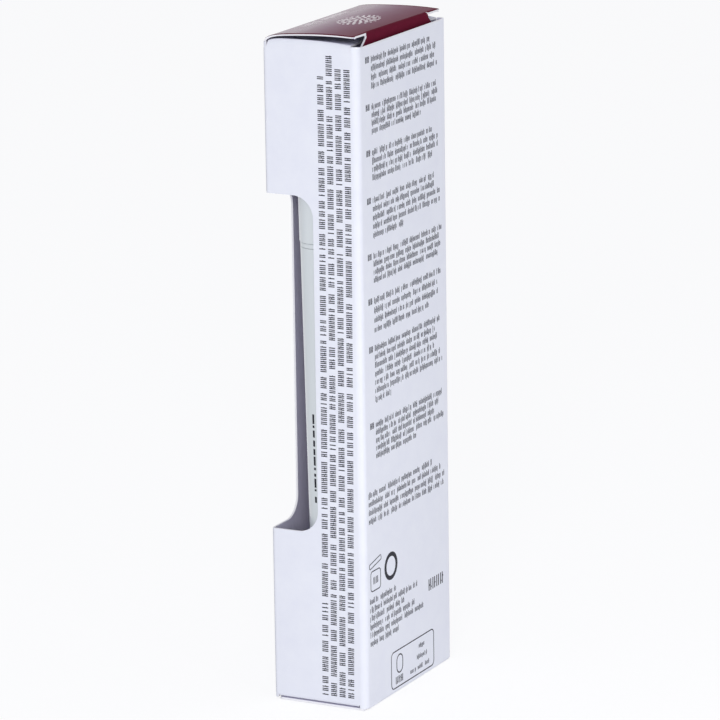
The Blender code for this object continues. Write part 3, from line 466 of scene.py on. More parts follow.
side_print = put_piece("window_side_print", points, faces, [print_ink], smooth=False, face_outwards=True)
for sheet in (back_print, side_print):
    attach(sheet, "carton")


# A grey band on the front wall's edge and the front half of the fold beside the window, which the camera sees
# as a thin line down the carton's outline. It is a film on the fold.
grey_band_finish, tree, shader = new_finish("grey_fold_band", "5C5A66", Roughness=0.5, IOR=1.5, Specular_IOR_Level=0.25)
place = add_node(tree, "ShaderNodeTexCoord", {}, {})
press = add_node(tree, "ShaderNodeTexNoise", {"Scale": 1 / (1.5 * MM), "Detail": 3.0},
                 {"Vector": place.outputs["Object"]})
ink = add_node(tree, "ShaderNodeMix", {"data_type": "RGBA", 6: linear("54525E"), 7: linear("65636E")},
               {0: press.outputs["Fac"]})
tree.links.new(ink.outputs[2], shader.inputs["Base Color"])
TINT_START, TINT_HEAD, TINT_GAP = -1.1, 148.4, 0.3
tint_u = np.concatenate([[TINT_START], FOLD_RUNS[0] * np.linspace(-0.5, -0.1, 5)])
for part, foot, head in (("lower", DUST_FOOT, WINDOW_FOOT - TINT_GAP), ("upper", WINDOW_HEAD + TINT_GAP, TINT_HEAD)):
    u, z = np.meshgrid(tint_u, np.linspace(foot, head, 9), indexing="ij")
    x, y = wrap(u, INK_LIFTS[1])
    tint = put_piece(f"front_fold_tint_{part}", np.stack([x.ravel(), y.ravel(), z.ravel()], axis=1),
                     [grid_faces(*u.shape)], [grey_band_finish])
    film = tint.modifiers.new("Film", "SOLIDIFY")
    film.thickness = (INK_LIFTS[1] - INK_LIFTS[0]) * MM
    film.offset = -1
    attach(tint, "carton")


# The glue flap: a strip of the same board folded in off the back and glued inside the plain side. It shows
# only through the window and from above, so the solid stays and gets the board's reverse.
glue_flap = bpy.data.objects["glue_flap"]
glue_flap.data.materials.clear()
glue_flap.data.materials.append(board_reverse)


# The two ends: at each a lid on a crease of one wide wall, a tuck flap on the lid and a dust flap on each
# narrow side. They are worked out in an end's own frame, whose z points out of the carton.
AJAR = {"top": math.radians(5.0), "bottom": 0.0}
LEAN = {"top": math.radians(6.0), "bottom": math.radians(3.0)}
LID_HALF, LID_LENGTH, LID_CORNER, LID_RIM = 21.35, 22.25, 0.8, 0.8
LID_BOW = {"top": 1.4, "bottom": 0.0}
LID_TWIST = {"top": 0.4, "bottom": 0.0}
LID_ROLL, ROLL_RUN = 0.1, 0.2
HINGE_ENDS = {"top": (-20.8, 20.8), "bottom": (-20.4, 19.6)}
TUCK_HALF, TUCK_FOLD_HALF, TUCK_LENGTH, TUCK_CORNER, TUCK_FLARE = 19.9, 15.2, 14.0, 6.0, 4.2
TUCK_SETBACK, TUCK_START = 0.8, 0.3
DUST_LENGTH, DUST_CORNER = 13.0, 1.5
DUST_SPRUNG = {"top": 1.0, "bottom": 0.0}
DUST_LIFT, DUST_CLIMB = 0.12, 0.58
DUST_SLOPES = math.tan(math.radians(35)), math.tan(math.radians(15))


def at_end(end, points):
    """Points of an end's frame in the carton's frame: lifted by its height, or turned half round x below."""
    points = np.asarray(points, float)
    return points + (0, 0, HIGH) if end == "top" else points * (1, -1, -1)


def bow_rise(end, share):
    """How high the lid's bow stands at a share of its length: up to its full height close to the hinge, by one
    less the 18th power of the rest of the share, and down again by 0.8 of the share's cube."""
    return LID_BOW[end] * (1 - (1 - share) ** 18) * (1 - 0.8 * share ** 3)


def lid_place(end, x, way, lift=0.0):
    """A point of the lid at distance way from its hinge. It stands on a line that is ajar by an angle, raised
    by the bow, and is twisted down towards the plain side in proportion to the distance."""
    ajar, share = AJAR[end], np.clip(way / LID_LENGTH, 0, 1)
    rise = lift + bow_rise(end, share) - LID_TWIST[end] * share * (0.5 - x / (2 * LID_HALF))
    y = -DEEP / 2 + way * math.cos(ajar) - rise * math.sin(ajar)
    z = way * math.sin(ajar) + rise * math.cos(ajar)
    return np.stack([x + 0 * way, y, z], axis=-1)


def tuck_place(end, x, way):
    """A point of the tuck flap's outer face at distance way from its fold, which lies under the lid's end. The
    flap hangs at a right angle to the lid's line and leans in by its own angle, and its outer face stands the
    board's thickness out from the fold."""
    ajar = AJAR[end]
    fold = LID_LENGTH - BOARD
    fold_y = -DEEP / 2 + fold * math.cos(ajar) + BOARD * math.sin(ajar)
    fold_z = fold * math.sin(ajar) - BOARD * math.cos(ajar) - LID_TWIST[end] * (0.5 - x / (2 * LID_HALF))
    down = ajar - math.pi / 2 - LEAN[end]
    y = fold_y + way * math.cos(down) - BOARD * math.sin(down)
    z = fold_z + way * math.sin(down) + BOARD * math.cos(down)
    return np.stack([x + 0 * way, y + 0 * x, z], axis=-1)


def lid_mesh(end):
    """The lid as a grid of x and way. Its shoulders, outside the tuck flap's fold, run on past the fold, and
    their corners draw in by the corner's radius less the circle's height there. The knife rolls the two side
    edges down by the square of the share of the roll's run."""
    fold_way = LID_LENGTH - TUCK_SETBACK
    shoulder = np.concatenate([np.linspace(TUCK_FOLD_HALF, LID_HALF - LID_RIM, 6),
                               LID_HALF - np.array([0.3, 0.2, 0.1, 0])])
    x_lines = np.concatenate([-shoulder[::-1], np.linspace(-TUCK_FOLD_HALF, TUCK_FOLD_HALF, 17)[1:-1], shoulder])
    turn = np.radians(np.linspace(0, 90, 7))
    ways = np.concatenate([np.linspace(CREASE, fold_way, 49),
                           LID_LENGTH - LID_CORNER + LID_CORNER * np.sin(turn[1:])])
    x, way = np.meshgrid(x_lines, ways, indexing="ij")
    roll = LID_ROLL * np.clip((np.abs(x) - LID_HALF + ROLL_RUN) / ROLL_RUN, 0, 1) ** 2
    past = np.clip(way - (LID_LENGTH - LID_CORNER), 0, LID_CORNER)
    drawn_in = LID_CORNER - np.sqrt(np.maximum(LID_CORNER ** 2 - past ** 2, 0))
    beyond = np.maximum(np.abs(x) - TUCK_FOLD_HALF, 0) / (LID_HALF - TUCK_FOLD_HALF)
    x = x - np.sign(x) * beyond * drawn_in
    faces = grid_faces(*x.shape)
    flat_x, flat_way = x.ravel()[faces].mean(axis=1), way.ravel()[faces].mean(axis=1)
    faces = faces[(np.abs(flat_x) > TUCK_FOLD_HALF) | (flat_way < fold_way)]
    used, faces = np.unique(faces, return_inverse=True)
    return lid_place(end, x.ravel()[used], way.ravel()[used], -roll.ravel()[used]), faces.reshape(-1, 4)


def tuck_mesh(end):
    """The tuck flap as a grid of shares across and distance down. Its half width grows in proportion from the
    slits to the shoulders, and at the end draws in by the corner's radius less the circle's height there."""
    turn = np.radians(np.linspace(0, 88, 13))
    round_from = TUCK_LENGTH - TUCK_CORNER
    ways = np.concatenate([np.linspace(TUCK_START, TUCK_FLARE, 6)[:-1], np.linspace(TUCK_FLARE, round_from, 5)[:-1],
                           round_from + TUCK_CORNER * np.sin(turn)])
    past = np.clip(ways - round_from, 0, TUCK_CORNER)
    half = (np.interp(ways, [TUCK_START, TUCK_FLARE], [TUCK_FOLD_HALF, TUCK_HALF])
            - (TUCK_CORNER - np.sqrt(TUCK_CORNER ** 2 - past ** 2)))
    share, way = np.meshgrid(np.linspace(-1, 1, 25), ways, indexing="ij")
    return tuck_place(end, share.ravel() * np.tile(half, 25), way.ravel()), grid_faces(*share.shape)


def dust_rise(end, side, y, way):
    """How far a dust flap springs up from flat: at its fold just to the underside of the shut lid, which is
    the lid's own bow less its twist on that side, plus a lift and a climb away from the hinge. It falls to
    the tip with the power 1.5 of what is left of the flap."""
    share = np.clip((y + DEEP / 2) / LID_LENGTH, 0, 1)
    under_lid = (DUST_LIFT + bow_rise(end, share) + DUST_CLIMB * share
                 - LID_TWIST[end] * share * (0.5 - 0.5 * side))
    return DUST_SPRUNG[end] * under_lid * np.clip(1 - way / DUST_LENGTH, 0, 1) ** 1.5


def dust_edges(end, way):
    """The y of a dust flap's two edges at a distance from its hinge: they slope in, each by its own slope."""
    low, high = DUST_ENDS[end]
    return low + way * DUST_SLOPES[0], high - way * DUST_SLOPES[1]


def dust_mesh(end, side):
    """A dust flap as a grid of shares along its hinge and distance inwards. Both edges slope to the tip, where
    the corners draw in on a circle."""
    turn = np.radians(np.linspace(0, 88, 7))
    ways = np.concatenate([np.linspace(CREASE, DUST_LENGTH - DUST_CORNER, 8)[:-1],
                           DUST_LENGTH - DUST_CORNER + DUST_CORNER * np.sin(turn)])
    past = np.clip(ways - (DUST_LENGTH - DUST_CORNER), 0, DUST_CORNER)
    drawn_in = DUST_CORNER - np.sqrt(DUST_CORNER ** 2 - past ** 2)
    low, high = dust_edges(end, ways)
    low, high = low + drawn_in, high - drawn_in
    share, way = np.meshgrid(np.linspace(0, 1, 25), ways, indexing="ij")
    y = np.tile(low, 25) + share.ravel() * np.tile(high - low, 25)
    points = np.stack([side * (WIDE / 2 - way.ravel()), y, dust_rise(end, side, y, way.ravel()) - CREASE], axis=1)
    faces = grid_faces(*share.shape)
    return points, faces if side > 0 else faces[:, ::-1]


def crease_curve(start, start_way, finish, finish_way, parts=20):
    """Cubic curves from one point and direction to another. Each arm is 0.55 of what its direction covers of
    the way between the points, which counts as 0.2 mm or more."""
    start, start_way, finish, finish_way = (np.asarray(item, float)[..., None, :]
                                            for item in (start, start_way, finish, finish_way))
    across = finish - start
    start_arm = 0.55 * np.maximum((across * start_way).sum(axis=-1, keepdims=True), 0.2)
    finish_arm = 0.55 * np.maximum((across * finish_way).sum(axis=-1, keepdims=True), 0.2)
    t = np.linspace(0, 1, parts + 1)[:, None]
    return ((1 - t) ** 3 * start + 3 * (1 - t) ** 2 * t * (start + start_arm * start_way)
            + 3 * (1 - t) * t ** 2 * (finish - finish_arm * finish_way) + t ** 3 * finish)


def direction(place, way):
    """The unit direction in y and z in which a sheet runs at a distance, at the middle of its width."""
    step = (place(way + 0.01) - place(way))[1:]
    return step / np.linalg.norm(step)


def lid_crease(end):
    """The fold between a wide wall and its lid, in the end's frame."""
    finish = lid_place(end, 0.0, CREASE)
    lid_way = direction(lambda way: lid_place(end, 0.0, way), CREASE)
    curve = crease_curve((-DEEP / 2, -CREASE), (0, 1), finish[1:], lid_way)
    x, row = np.meshgrid(np.linspace(*HINGE_ENDS[end], 25), np.arange(len(curve)), indexing="ij")
    points = np.stack([x.ravel(), curve[row.ravel(), 0], curve[row.ravel(), 1]], axis=1)
    return points, grid_faces(*x.shape), np.array([0, -DEEP / 2, -CREASE]), finish


def tuck_crease(end):
    """The fold between the lid and its tuck flap, a curve at each of a row of places along it."""
    x = np.linspace(-TUCK_FOLD_HALF, TUCK_FOLD_HALF, 17)
    lid_end = LID_LENGTH - TUCK_SETBACK
    start, finish = lid_place(end, x, np.full(17, lid_end)), tuck_place(end, x, np.full(17, TUCK_START))
    curve = crease_curve(start[:, 1:], direction(lambda way: lid_place(end, 0.0, way), lid_end),
                         finish[:, 1:], direction(lambda way: tuck_place(end, 0.0, way), TUCK_START))
    points = np.concatenate([np.broadcast_to(x[:, None, None], (17, curve.shape[1], 1)), curve], axis=-1)
    return points.reshape(-1, 3), grid_faces(17, curve.shape[1]), start[8], finish[8]


def dust_crease(end, side):
    """The fold between a narrow wall and its dust flap, a curve at each of a row of places along it."""
    share = np.linspace(0, 1, 25)
    low, high = dust_edges(end, CREASE)
    y = DUST_ENDS[end][0] + share * (DUST_ENDS[end][1] - DUST_ENDS[end][0])
    inner_y = low + share * (high - low)
    top = dust_rise(end, side, inner_y, CREASE) - CREASE
    slope = (dust_rise(end, side, inner_y, CREASE + 0.1) - CREASE - top) / 0.1
    way = np.stack([-np.ones(25), slope], axis=1)
    way /= np.linalg.norm(way, axis=1, keepdims=True)
    start = np.stack([np.full(25, WIDE / 2), np.full(25, -2 * CREASE)], axis=1)
    finish = np.stack([np.full(25, WIDE / 2 - CREASE), top], axis=1)
    curve = crease_curve(start, (0, 1), finish, way)
    rows = np.linspace(0, 1, curve.shape[1])
    along = y[:, None] + (inner_y - y)[:, None] * rows
    points = np.stack([side * curve[..., 0], along, curve[..., 1]], axis=-1).reshape(-1, 3)
    faces = grid_faces(25, curve.shape[1])
    return (points, faces if side > 0 else faces[:, ::-1], np.array([side * WIDE / 2, 0, -2 * CREASE]),
            np.array([side * (WIDE / 2 - CREASE), 0, top[12]]))


# The lid's print: deep burgundy offset ink, a little cloudy over the fibre, under a varnish that is satin at
# the hinge and rubbed dull towards the tuck fold, where fingers open it. The ink runs from purple at the hinge,
# a painted bluish sheen, to its own wine red at the fold.
burgundy_board, tree, shader = new_finish("burgundy_printed_board", "5F123B", Roughness=0.45, IOR=1.5,
                                          Specular_IOR_Level=1.0)
place = add_node(tree, "ShaderNodeTexCoord", {}, {})
across = add_node(tree, "ShaderNodeSeparateXYZ", {}, {0: place.outputs["Object"]})
wear_and_sheen = add_node(tree, "ShaderNodeMapRange", {"From Min": -5 * MM, "From Max": 11 * MM},
                {"Value": across.outputs["Y"]})
cloud = add_node(tree, "ShaderNodeTexNoise", {"Scale": 1 / (3 * MM), "Detail": 4.0, "Roughness": 0.6},
                 {"Vector": place.outputs["Object"]})
# The purple shades at the hinge end are a painted bluish sheen; the wine red at the fold end is the ink's own
# colour.
ink = add_node(tree, "ShaderNodeMix", {"data_type": "RGBA", 6: linear("5C0F4E"), 7: linear("6A1758")},
               {0: cloud.outputs["Fac"]})
ink = add_node(tree, "ShaderNodeMix", {"data_type": "RGBA", 7: linear("5E0F2C")},
               {0: wear_and_sheen.outputs["Result"], 6: ink.outputs[2]})
varnish = add_node(tree, "ShaderNodeMapRange", {"To Min": 0.2, "To Max": 0.86}, {"Value": wear_and_sheen.outputs["Result"]})
varnish = add_node(tree, "ShaderNodeMath", {"operation": "MULTIPLY_ADD", 1: 0.1},
                   {0: cloud.outputs["Fac"], 2: varnish.outputs["Result"]})
skin = add_node(tree, "ShaderNodeTexNoise", {"Scale": 1 / (0.4 * MM), "Detail": 2.0},
                {"Vector": place.outputs["Object"]})
ripple = add_node(tree, "ShaderNodeBump", {"Strength": 0.1, "Distance": 0.02 * MM}, {"Height": skin.outputs["Fac"]})
tree.links.new(ink.outputs[2], shader.inputs["Base Color"])
tree.links.new(varnish.outputs[0], shader.inputs["Roughness"])
tree.links.new(ripple.outputs["Normal"], shader.inputs["Normal"])
BURGUNDY_BOARD = (burgundy_board, board_reverse, board_edge)

# The tuck flap and its fold carry the same ink without the varnish, so they look deeper and quite matt. A rim
# along the lid's free edges gets this matt ink too: a painted dark line of shade where the sheet's edges turn down.
bare_burgundy, tree, shader = new_finish("unvarnished_burgundy_board", "601029", Roughness=0.75, IOR=1.4,
                                         Specular_IOR_Level=0.08)
place = add_node(tree, "ShaderNodeTexCoord", {}, {})
cloud = add_node(tree, "ShaderNodeTexNoise", {"Scale": 1 / (1.5 * MM), "Detail": 4.0, "Roughness": 0.65},
                 {"Vector": place.outputs["Object"]})
ink = add_node(tree, "ShaderNodeMix", {"data_type": "RGBA", 6: linear("560C23"), 7: linear("6B1630")},
               {0: cloud.outputs["Fac"]})
nap = add_node(tree, "ShaderNodeBump", {"Strength": 0.15, "Distance": 0.02 * MM}, {"Height": cloud.outputs["Fac"]})
tree.links.new(ink.outputs[2], shader.inputs["Base Color"])
tree.links.new(nap.outputs["Normal"], shader.inputs["Normal"])
BARE_BOARD = (bare_burgundy, board_reverse, board_edge)


def paint_rim_shade(lid):
    """Gives the lid's outer face the unvarnished ink along its free edges, which paints a dark line of shade there:
    where x is within the rim's width of the lid's half width, or y within it of the lid's end."""
    centres = np.zeros((len(lid.data.polygons), 3))
    layer = np.zeros(len(centres), np.int32)
    lid.data.polygons.foreach_get("center", centres.ravel())
    lid.data.polygons.foreach_get("material_index", layer)
    x, y = centres[:, 0], centres[:, 1]
    free = (np.abs(x) > (LID_HALF - LID_RIM) * MM) | (y > (LID_LENGTH - LID_RIM - DEEP / 2) * MM)
    lid.data.materials.append(bare_burgundy)
    bare = len(lid.data.materials) - 1
    lid.data.polygons.foreach_set("material_index", np.where(free & (layer == 0), bare, layer).astype(np.int32))


for end, sheet_board, tuck_board, slot in (("top", BURGUNDY_BOARD, BARE_BOARD, "board_burgundy"),
                                           ("bottom", WHITE_BOARD, WHITE_BOARD, "board_white")):
    points, faces = lid_mesh(end)
    lid = put_piece(f"{end}_lid_sheet", at_end(end, points), [faces], sheet_board)
    points, faces = tuck_mesh(end)
    tuck = put_piece(f"{end}_tuck_sheet", at_end(end, points), [faces], tuck_board)
    for sheet, body, node in ((lid, f"{end}_lid", f"{end}_lid_panel"), (tuck, f"{end}_tuck", f"{end}_tuck_flap")):
        board_wall(sheet)
        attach(sheet, body)
        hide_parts(node)
    if end == "top":
        paint_rim_shade(lid)
    for name, (points, faces, start, finish), low, high, board in (
            ("lid_crease", lid_crease(end), "carton", f"{end}_lid", sheet_board),
            ("tuck_crease", tuck_crease(end), f"{end}_lid", f"{end}_tuck", tuck_board)):
        fold = put_piece(f"{end}_{name}", at_end(end, points), [faces], board)
        board_wall(fold)
        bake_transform(fold)
    for side, side_name in ((1, "window_side"), (-1, "plain_side")):
        body = f"{end}_dust_{side_name}"
        points, faces = dust_mesh(end, side)
        flap = put_piece(f"{body}_sheet", at_end(end, points), [faces], WHITE_BOARD)
        board_wall(flap)
        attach(flap, body)
        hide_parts(f"{end}_dust_flap_{side_name}")
        points, faces, start, finish = dust_crease(end, side)
        fold = put_piece(f"{body}_crease", at_end(end, points), [faces], WHITE_BOARD)
        board_wall(fold)
        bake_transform(fold)


# The lid's decoration: a row of small marks near the hinge and an oval of petals, in hot-stamped silver
# foil. They are closed films on the lid and bend with its bow.
silver_foil, tree, shader = new_finish("hot_stamped_silver_foil", "EDE9EC", Roughness=0.35, Metallic=0.35)
place = add_node(tree, "ShaderNodeTexCoord", {}, {})
crackle = add_node(tree, "ShaderNodeTexNoise", {"Scale": 1 / (0.25 * MM), "Detail": 3.0},
                   {"Vector": place.outputs["Object"]})
bright = add_node(tree, "ShaderNodeMix", {"data_type": "RGBA", 6: linear("DDD6DA"), 7: linear("F8F5F7")},
                  {0: crackle.outputs["Fac"]})
rub = add_node(tree, "ShaderNodeMapRange", {"To Min": 0.22, "To Max": 0.45}, {"Value": crackle.outputs["Fac"]})
grit = add_node(tree, "ShaderNodeBump", {"Strength": 0.2, "Distance": 0.01 * MM}, {"Height": crackle.outputs["Fac"]})
tree.links.new(bright.outputs[2], shader.inputs["Base Color"])
tree.links.new(rub.outputs["Result"], shader.inputs["Roughness"])
tree.links.new(grit.outputs["Normal"], shader.inputs["Normal"])


def lid_film_place(x, way, lift):
    """A point on the top lid, in the carton's frame."""
    return at_end("top", lid_place("top", x, way, lift))


def petal_oval(middle, reach, count, petal, shift):
    """Eight-cornered petals on an oval, each pointing away from its middle: the middle, plus a place on the
    oval, plus the petal's two half sizes along and across the direction to that place."""
    around = (np.arange(count) + shift) * math.tau / count
    centre = np.stack([np.cos(around), np.sin(around)], axis=-1) * reach
    facing = np.arctan2(centre[:, 1], centre[:, 0])
    out = np.stack([np.cos(facing), np.sin(facing)], axis=-1)
    aside = np.stack([-out[:, 1], out[:, 0]], axis=-1)
    corner = np.arange(8) * math.tau / 8
    return (np.array(middle) + centre[:, None, :] + petal[0] * np.cos(corner)[:, None] * out[:, None, :]
            + petal[1] * np.sin(corner)[:, None] * aside[:, None, :])


ROW_END, OVAL_MIDDLE = 10.5, (0.9, 13.2)
PETAL_OVALS = (((1.3, 0.85), 6, (0.5, 0.32), 0), ((3.1, 2.0), 11, (0.68, 0.36), 0.5),
               ((4.9, 3.1), 16, (0.55, 0.42), 0), ((6.4, 4.0), 22, (0.36, 0.3), 0.5))
strokes = row_strokes(dice, 0.0, 21.7, 3.5, cap=2.3, pitch=1.75, weight=0.36, low_share=0.75)
marks = [ink_blocks(lid_film_place, np.stack([ROW_END - strokes[..., 0], strokes[..., 1]], axis=-1))]
marks += [ink_blocks(lid_film_place, petal_oval(OVAL_MIDDLE, *oval)) for oval in PETAL_OVALS]
points, faces = joined(marks)
foil = put_piece("lid_foil_marks", points, faces, [silver_foil], smooth=False, face_outwards=True)
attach(foil, "top_lid")


# The pen's outer shells: injection moulded and gloss, each a profile turned round the pen's axis. The long
# cap is a little wider than the barrel, and a thin collar stands between them.
PEN_FOOT = np.array([15.25, 1.4, 1.59337])
PEN_LEAN = math.radians(1.0)
BARREL, BARREL_BORE, CAP, CAP_BORE = 5.35, 4.45, 5.5, 4.9
KNOB_TOP, BARREL_TOP, COLLAR_FOOT, CAP_LIP, PEN_TOP = 13.0, 102.72, 102.8, 103.88, 138.0
CAP_DOME, CAP_CEILING = 1.8, 134.6
COLLAR_BORE, COLLAR_TOP = 3.95, COLLAR_FOOT + 1.0
KNOB_BORE, KNOB_FLOOR, KNOB_NECK, NECK_TOP = 3.1, 3.0, 4.38, 17.0
PLUG_SEAT, PLUG_DEPTH = 3.25, 1.2
AXIS_RING = 0.3
TURN_PARTS = 128


def pen_place(points):
    """Points of the pen's own frame in the carton's frame: turned about x by the lean from the upright towards
    the front, and moved to where the pen's foot stands."""
    lean = np.array([[1, 0, 0], [0, math.cos(PEN_LEAN), -math.sin(PEN_LEAN)],
                     [0, math.sin(PEN_LEAN), math.cos(PEN_LEAN)]])
    return points @ lean.T + PEN_FOOT


def rounding(radius, height, curve, start, finish, parts=6):
    """Points on a small arc of a profile: its centre's radius and height, plus the curve's radius along
    directions between two angles in degrees from outwards."""
    angle = np.radians(np.linspace(start, finish, parts + 1))
    return np.stack([radius + curve * np.cos(angle), height + curve * np.sin(angle)], axis=1).tolist()


def turned_shell(name, profile, finishes, closed):
    """A profile of radii and heights, its outside from the top down, turned in full round the pen's axis. An
    open profile ends in a point on the axis at either end."""
    profile = np.array(profile)
    angle = np.arange(TURN_PARTS) * math.tau / TURN_PARTS
    radius, height = profile[:, 0, None], profile[:, 1, None]
    points = np.stack([radius * np.cos(angle), radius * np.sin(angle), height + 0 * angle], axis=-1).reshape(-1, 3)
    index = np.arange(len(points)).reshape(len(profile), TURN_PARTS)
    if closed:
        index = np.concatenate([index, index[:1]])
    beside = np.roll(index, -1, axis=1)
    quads = np.stack([index[:-1], index[1:], beside[1:], beside[:-1]], axis=-1).reshape(-1, 4)
    fans = np.zeros((0, 3), int)
    if not closed:
        tips = np.array([[0, 0, profile[0, 1]], [0, 0, profile[-1, 1]]])
        first, last = len(points), len(points) + 1
        points = np.concatenate([points, tips])
        fans = np.concatenate([
            np.stack([np.full(TURN_PARTS, first), index[0], beside[0]], axis=1),
            np.stack([np.full(TURN_PARTS, last), beside[-1], index[-1]], axis=1),
        ])
    return put_piece(name, pen_place(points), [quads, fans], finishes)


# Moulded polypropylene, white with a green-grey cast: a soft gloss skin with the mould's faint flow marks.
gloss_shell, tree, shader = new_finish("gloss_white_polypropylene", "DDE3E5", Roughness=0.16, IOR=1.49,
                                       Coat_Weight=0.25, Coat_Roughness=0.08)
place = add_node(tree, "ShaderNodeTexCoord", {}, {})
flow = add_node(tree, "ShaderNodeMapping", {"Scale": (1.0, 1.0, 0.15)}, {"Vector": place.outputs["Object"]})
cloud = add_node(tree, "ShaderNodeTexNoise", {"Scale": 1 / (2.5 * MM), "Detail": 3.0},
                 {"Vector": flow.outputs["Vector"]})
milk = add_node(tree, "ShaderNodeMix", {"data_type": "RGBA", 6: linear("D8DFE1"), 7: linear("E2E7E9")},
                {0: cloud.outputs["Fac"]})
gloss = add_node(tree, "ShaderNodeMapRange", {"To Min": 0.12, "To Max": 0.22}, {"Value": cloud.outputs["Fac"]})
skin = add_node(tree, "ShaderNodeBump", {"Strength": 0.05, "Distance": 0.05 * MM}, {"Height": cloud.outputs["Fac"]})
tree.links.new(milk.outputs[2], shader.inputs["Base Color"])
tree.links.new(gloss.outputs["Result"], shader.inputs["Roughness"])
tree.links.new(skin.outputs["Normal"], shader.inputs["Normal"])

cap = turned_shell("pen_cap", [
    *rounding(CAP - CAP_DOME, PEN_TOP - CAP_DOME, CAP_DOME, 88, 0, 14),
    *[(CAP, height) for height in np.linspace(PEN_TOP - 4, CAP_LIP + 2, 12)],
    *rounding(CAP - 0.15, CAP_LIP + 0.15, 0.15, 0, -90),
    (CAP_BORE + 0.1, CAP_LIP), (CAP_BORE, CAP_LIP + 0.1), (CAP_BORE, CAP_CEILING), (AXIS_RING, CAP_CEILING),
], [gloss_shell], False)
barrel = turned_shell("pen_barrel", [
    *rounding(BARREL - 0.08, BARREL_TOP - 0.08, 0.08, 90, 0),
    *[(BARREL, height) for height in np.linspace(BARREL_TOP - 2, KNOB_TOP + 2.3, 24)],
    *rounding(BARREL - 0.2, KNOB_TOP + 0.5, 0.2, 0, -90),
    (BARREL_BORE, KNOB_TOP + 0.3), (BARREL_BORE, BARREL_TOP),
], [gloss_shell], True)
collar = turned_shell("pen_collar", [
    *rounding(BARREL - 0.1, COLLAR_FOOT + 0.9, 0.1, 90, 0),
    *rounding(BARREL - 0.08, COLLAR_FOOT + 0.08, 0.08, 0, -90),
    (COLLAR_BORE, COLLAR_FOOT), (COLLAR_BORE, COLLAR_TOP),
], [gloss_shell], True)
knob = turned_shell("pen_twist_knob", [
    (AXIS_RING, KNOB_FLOOR), (KNOB_BORE, KNOB_FLOOR), (KNOB_BORE, NECK_TOP), (KNOB_NECK, NECK_TOP),
    (KNOB_NECK, KNOB_TOP),
    *rounding(BARREL - 0.2, KNOB_TOP - 0.2, 0.2, 90, 0),
    *[(BARREL, height) for height in np.linspace(KNOB_TOP - 1.5, 1.5, 6)],
    *rounding(BARREL - 0.5, 0.5, 0.5, 0, -90),
    (PLUG_SEAT, 0.0), (PLUG_SEAT, PLUG_DEPTH), (AXIS_RING, PLUG_DEPTH),
], [gloss_shell], False)
for shell, body, node in ((cap, "cap", "cap_shell"), (barrel, "pen", "barrel"), (collar, "pen", "collar_ring"),
                          (knob, "knob", "twist_knob")):
    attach(shell, body)
    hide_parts(node)


# The barrel's print: a column of short dashes, each in two halves, in the same dark ink, pad printed down the
# side that faces the window's edge. A dash is given by the heights of its ends.
BARREL_MARKS = ((64.74, 66.92), (63.83, 64.4), (61.65, 63.25), (59.58, 60.96), (57.63, 59.01), (55.22, 57.29),
                (54.18, 54.76), (52.68, 53.37), (50.15, 52.22), (49.34, 49.8), (46.68, 48.07))
MARK_ANGLE, MARKS_LOWERED = math.radians(-16.5), 1.56
MARK_HALVES = ((-0.28, -0.01), (0.01, 0.28))


def barrel_place(arc, height, lift):
    """A point on the barrel's skin at a distance round it from the marks' middle and a height: the angle grows
    by the distance over the barrel's radius."""
    angle = MARK_ANGLE + arc / BARREL
    reach = BARREL + lift
    points = np.stack([reach * np.cos(angle), reach * np.sin(angle), height + 0 * arc], axis=-1)
    return pen_place(points.reshape(-1, 3)).reshape(points.shape)


spans = np.repeat(np.array(BARREL_MARKS) - MARKS_LOWERED, 2, axis=0)
arcs = np.tile(MARK_HALVES, (len(BARREL_MARKS), 1))
dashes = np.stack([arcs[:, [0, 1, 1, 0]], spans[:, [0, 0, 1, 1]]], axis=-1)
points, faces = ink_blocks(barrel_place, dashes)
dash_print = put_piece("barrel_print", points, faces, [print_ink], smooth=False, face_outwards=True)
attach(dash_print, "pen")


# The pen's inside, which only the open or taken-apart pen shows. The solids stay, each with the material
# such a part is moulded from. A row holds the material's name, its two shades, its roughness from and to, the
# size of its patches in millimetres, the strength of its skin's relief, other sockets, and the solids.
INNER_FINISHES = (
    # Natural polypropylene, milky, with a skin that scatters a little light.
    ("natural_polypropylene", "D9DCD6", "E9EBE6", 0.28, 0.42, 2.0, 0.06, {"Subsurface_Weight": 0.15, "IOR": 1.49},
     ("inner_cap", "nozzle_holder", "piston")),
    # Grey acetal for the running parts: harder and waxy, with fine flow marks.
    ("grey_acetal", "8E9194", "9DA0A3", 0.3, 0.4, 1.0, 0.08, {"IOR": 1.48},
     ("drive_sleeve", "screw_nut", "lead_screw", "click_ring", "ratchet_ring")),
    # Nitrile rubber of the two seals: charcoal and dull, dusty in patches.
    ("nitrile_rubber", "242527", "34353A", 0.7, 0.9, 0.6, 0.2, {"IOR": 1.52, "Specular_IOR_Level": 0.25},
     ("piston_ring", "cap_seal")),
    # The knob's end plug: the shells' own white polypropylene, duller.
    ("satin_white_polypropylene", "D4DADC", "E0E5E7", 0.34, 0.46, 1.5, 0.1, {"IOR": 1.49}, ("knob_end_plug",)),
    # The soft applicator tip: rose thermoplastic elastomer, satin, with a fine moulded skin.
    ("soft_rose_elastomer", "C98E97", "D49CA4", 0.5, 0.65, 0.5, 0.15, {"Subsurface_Weight": 0.2, "IOR": 1.5},
     ("applicator_tip",)),
)
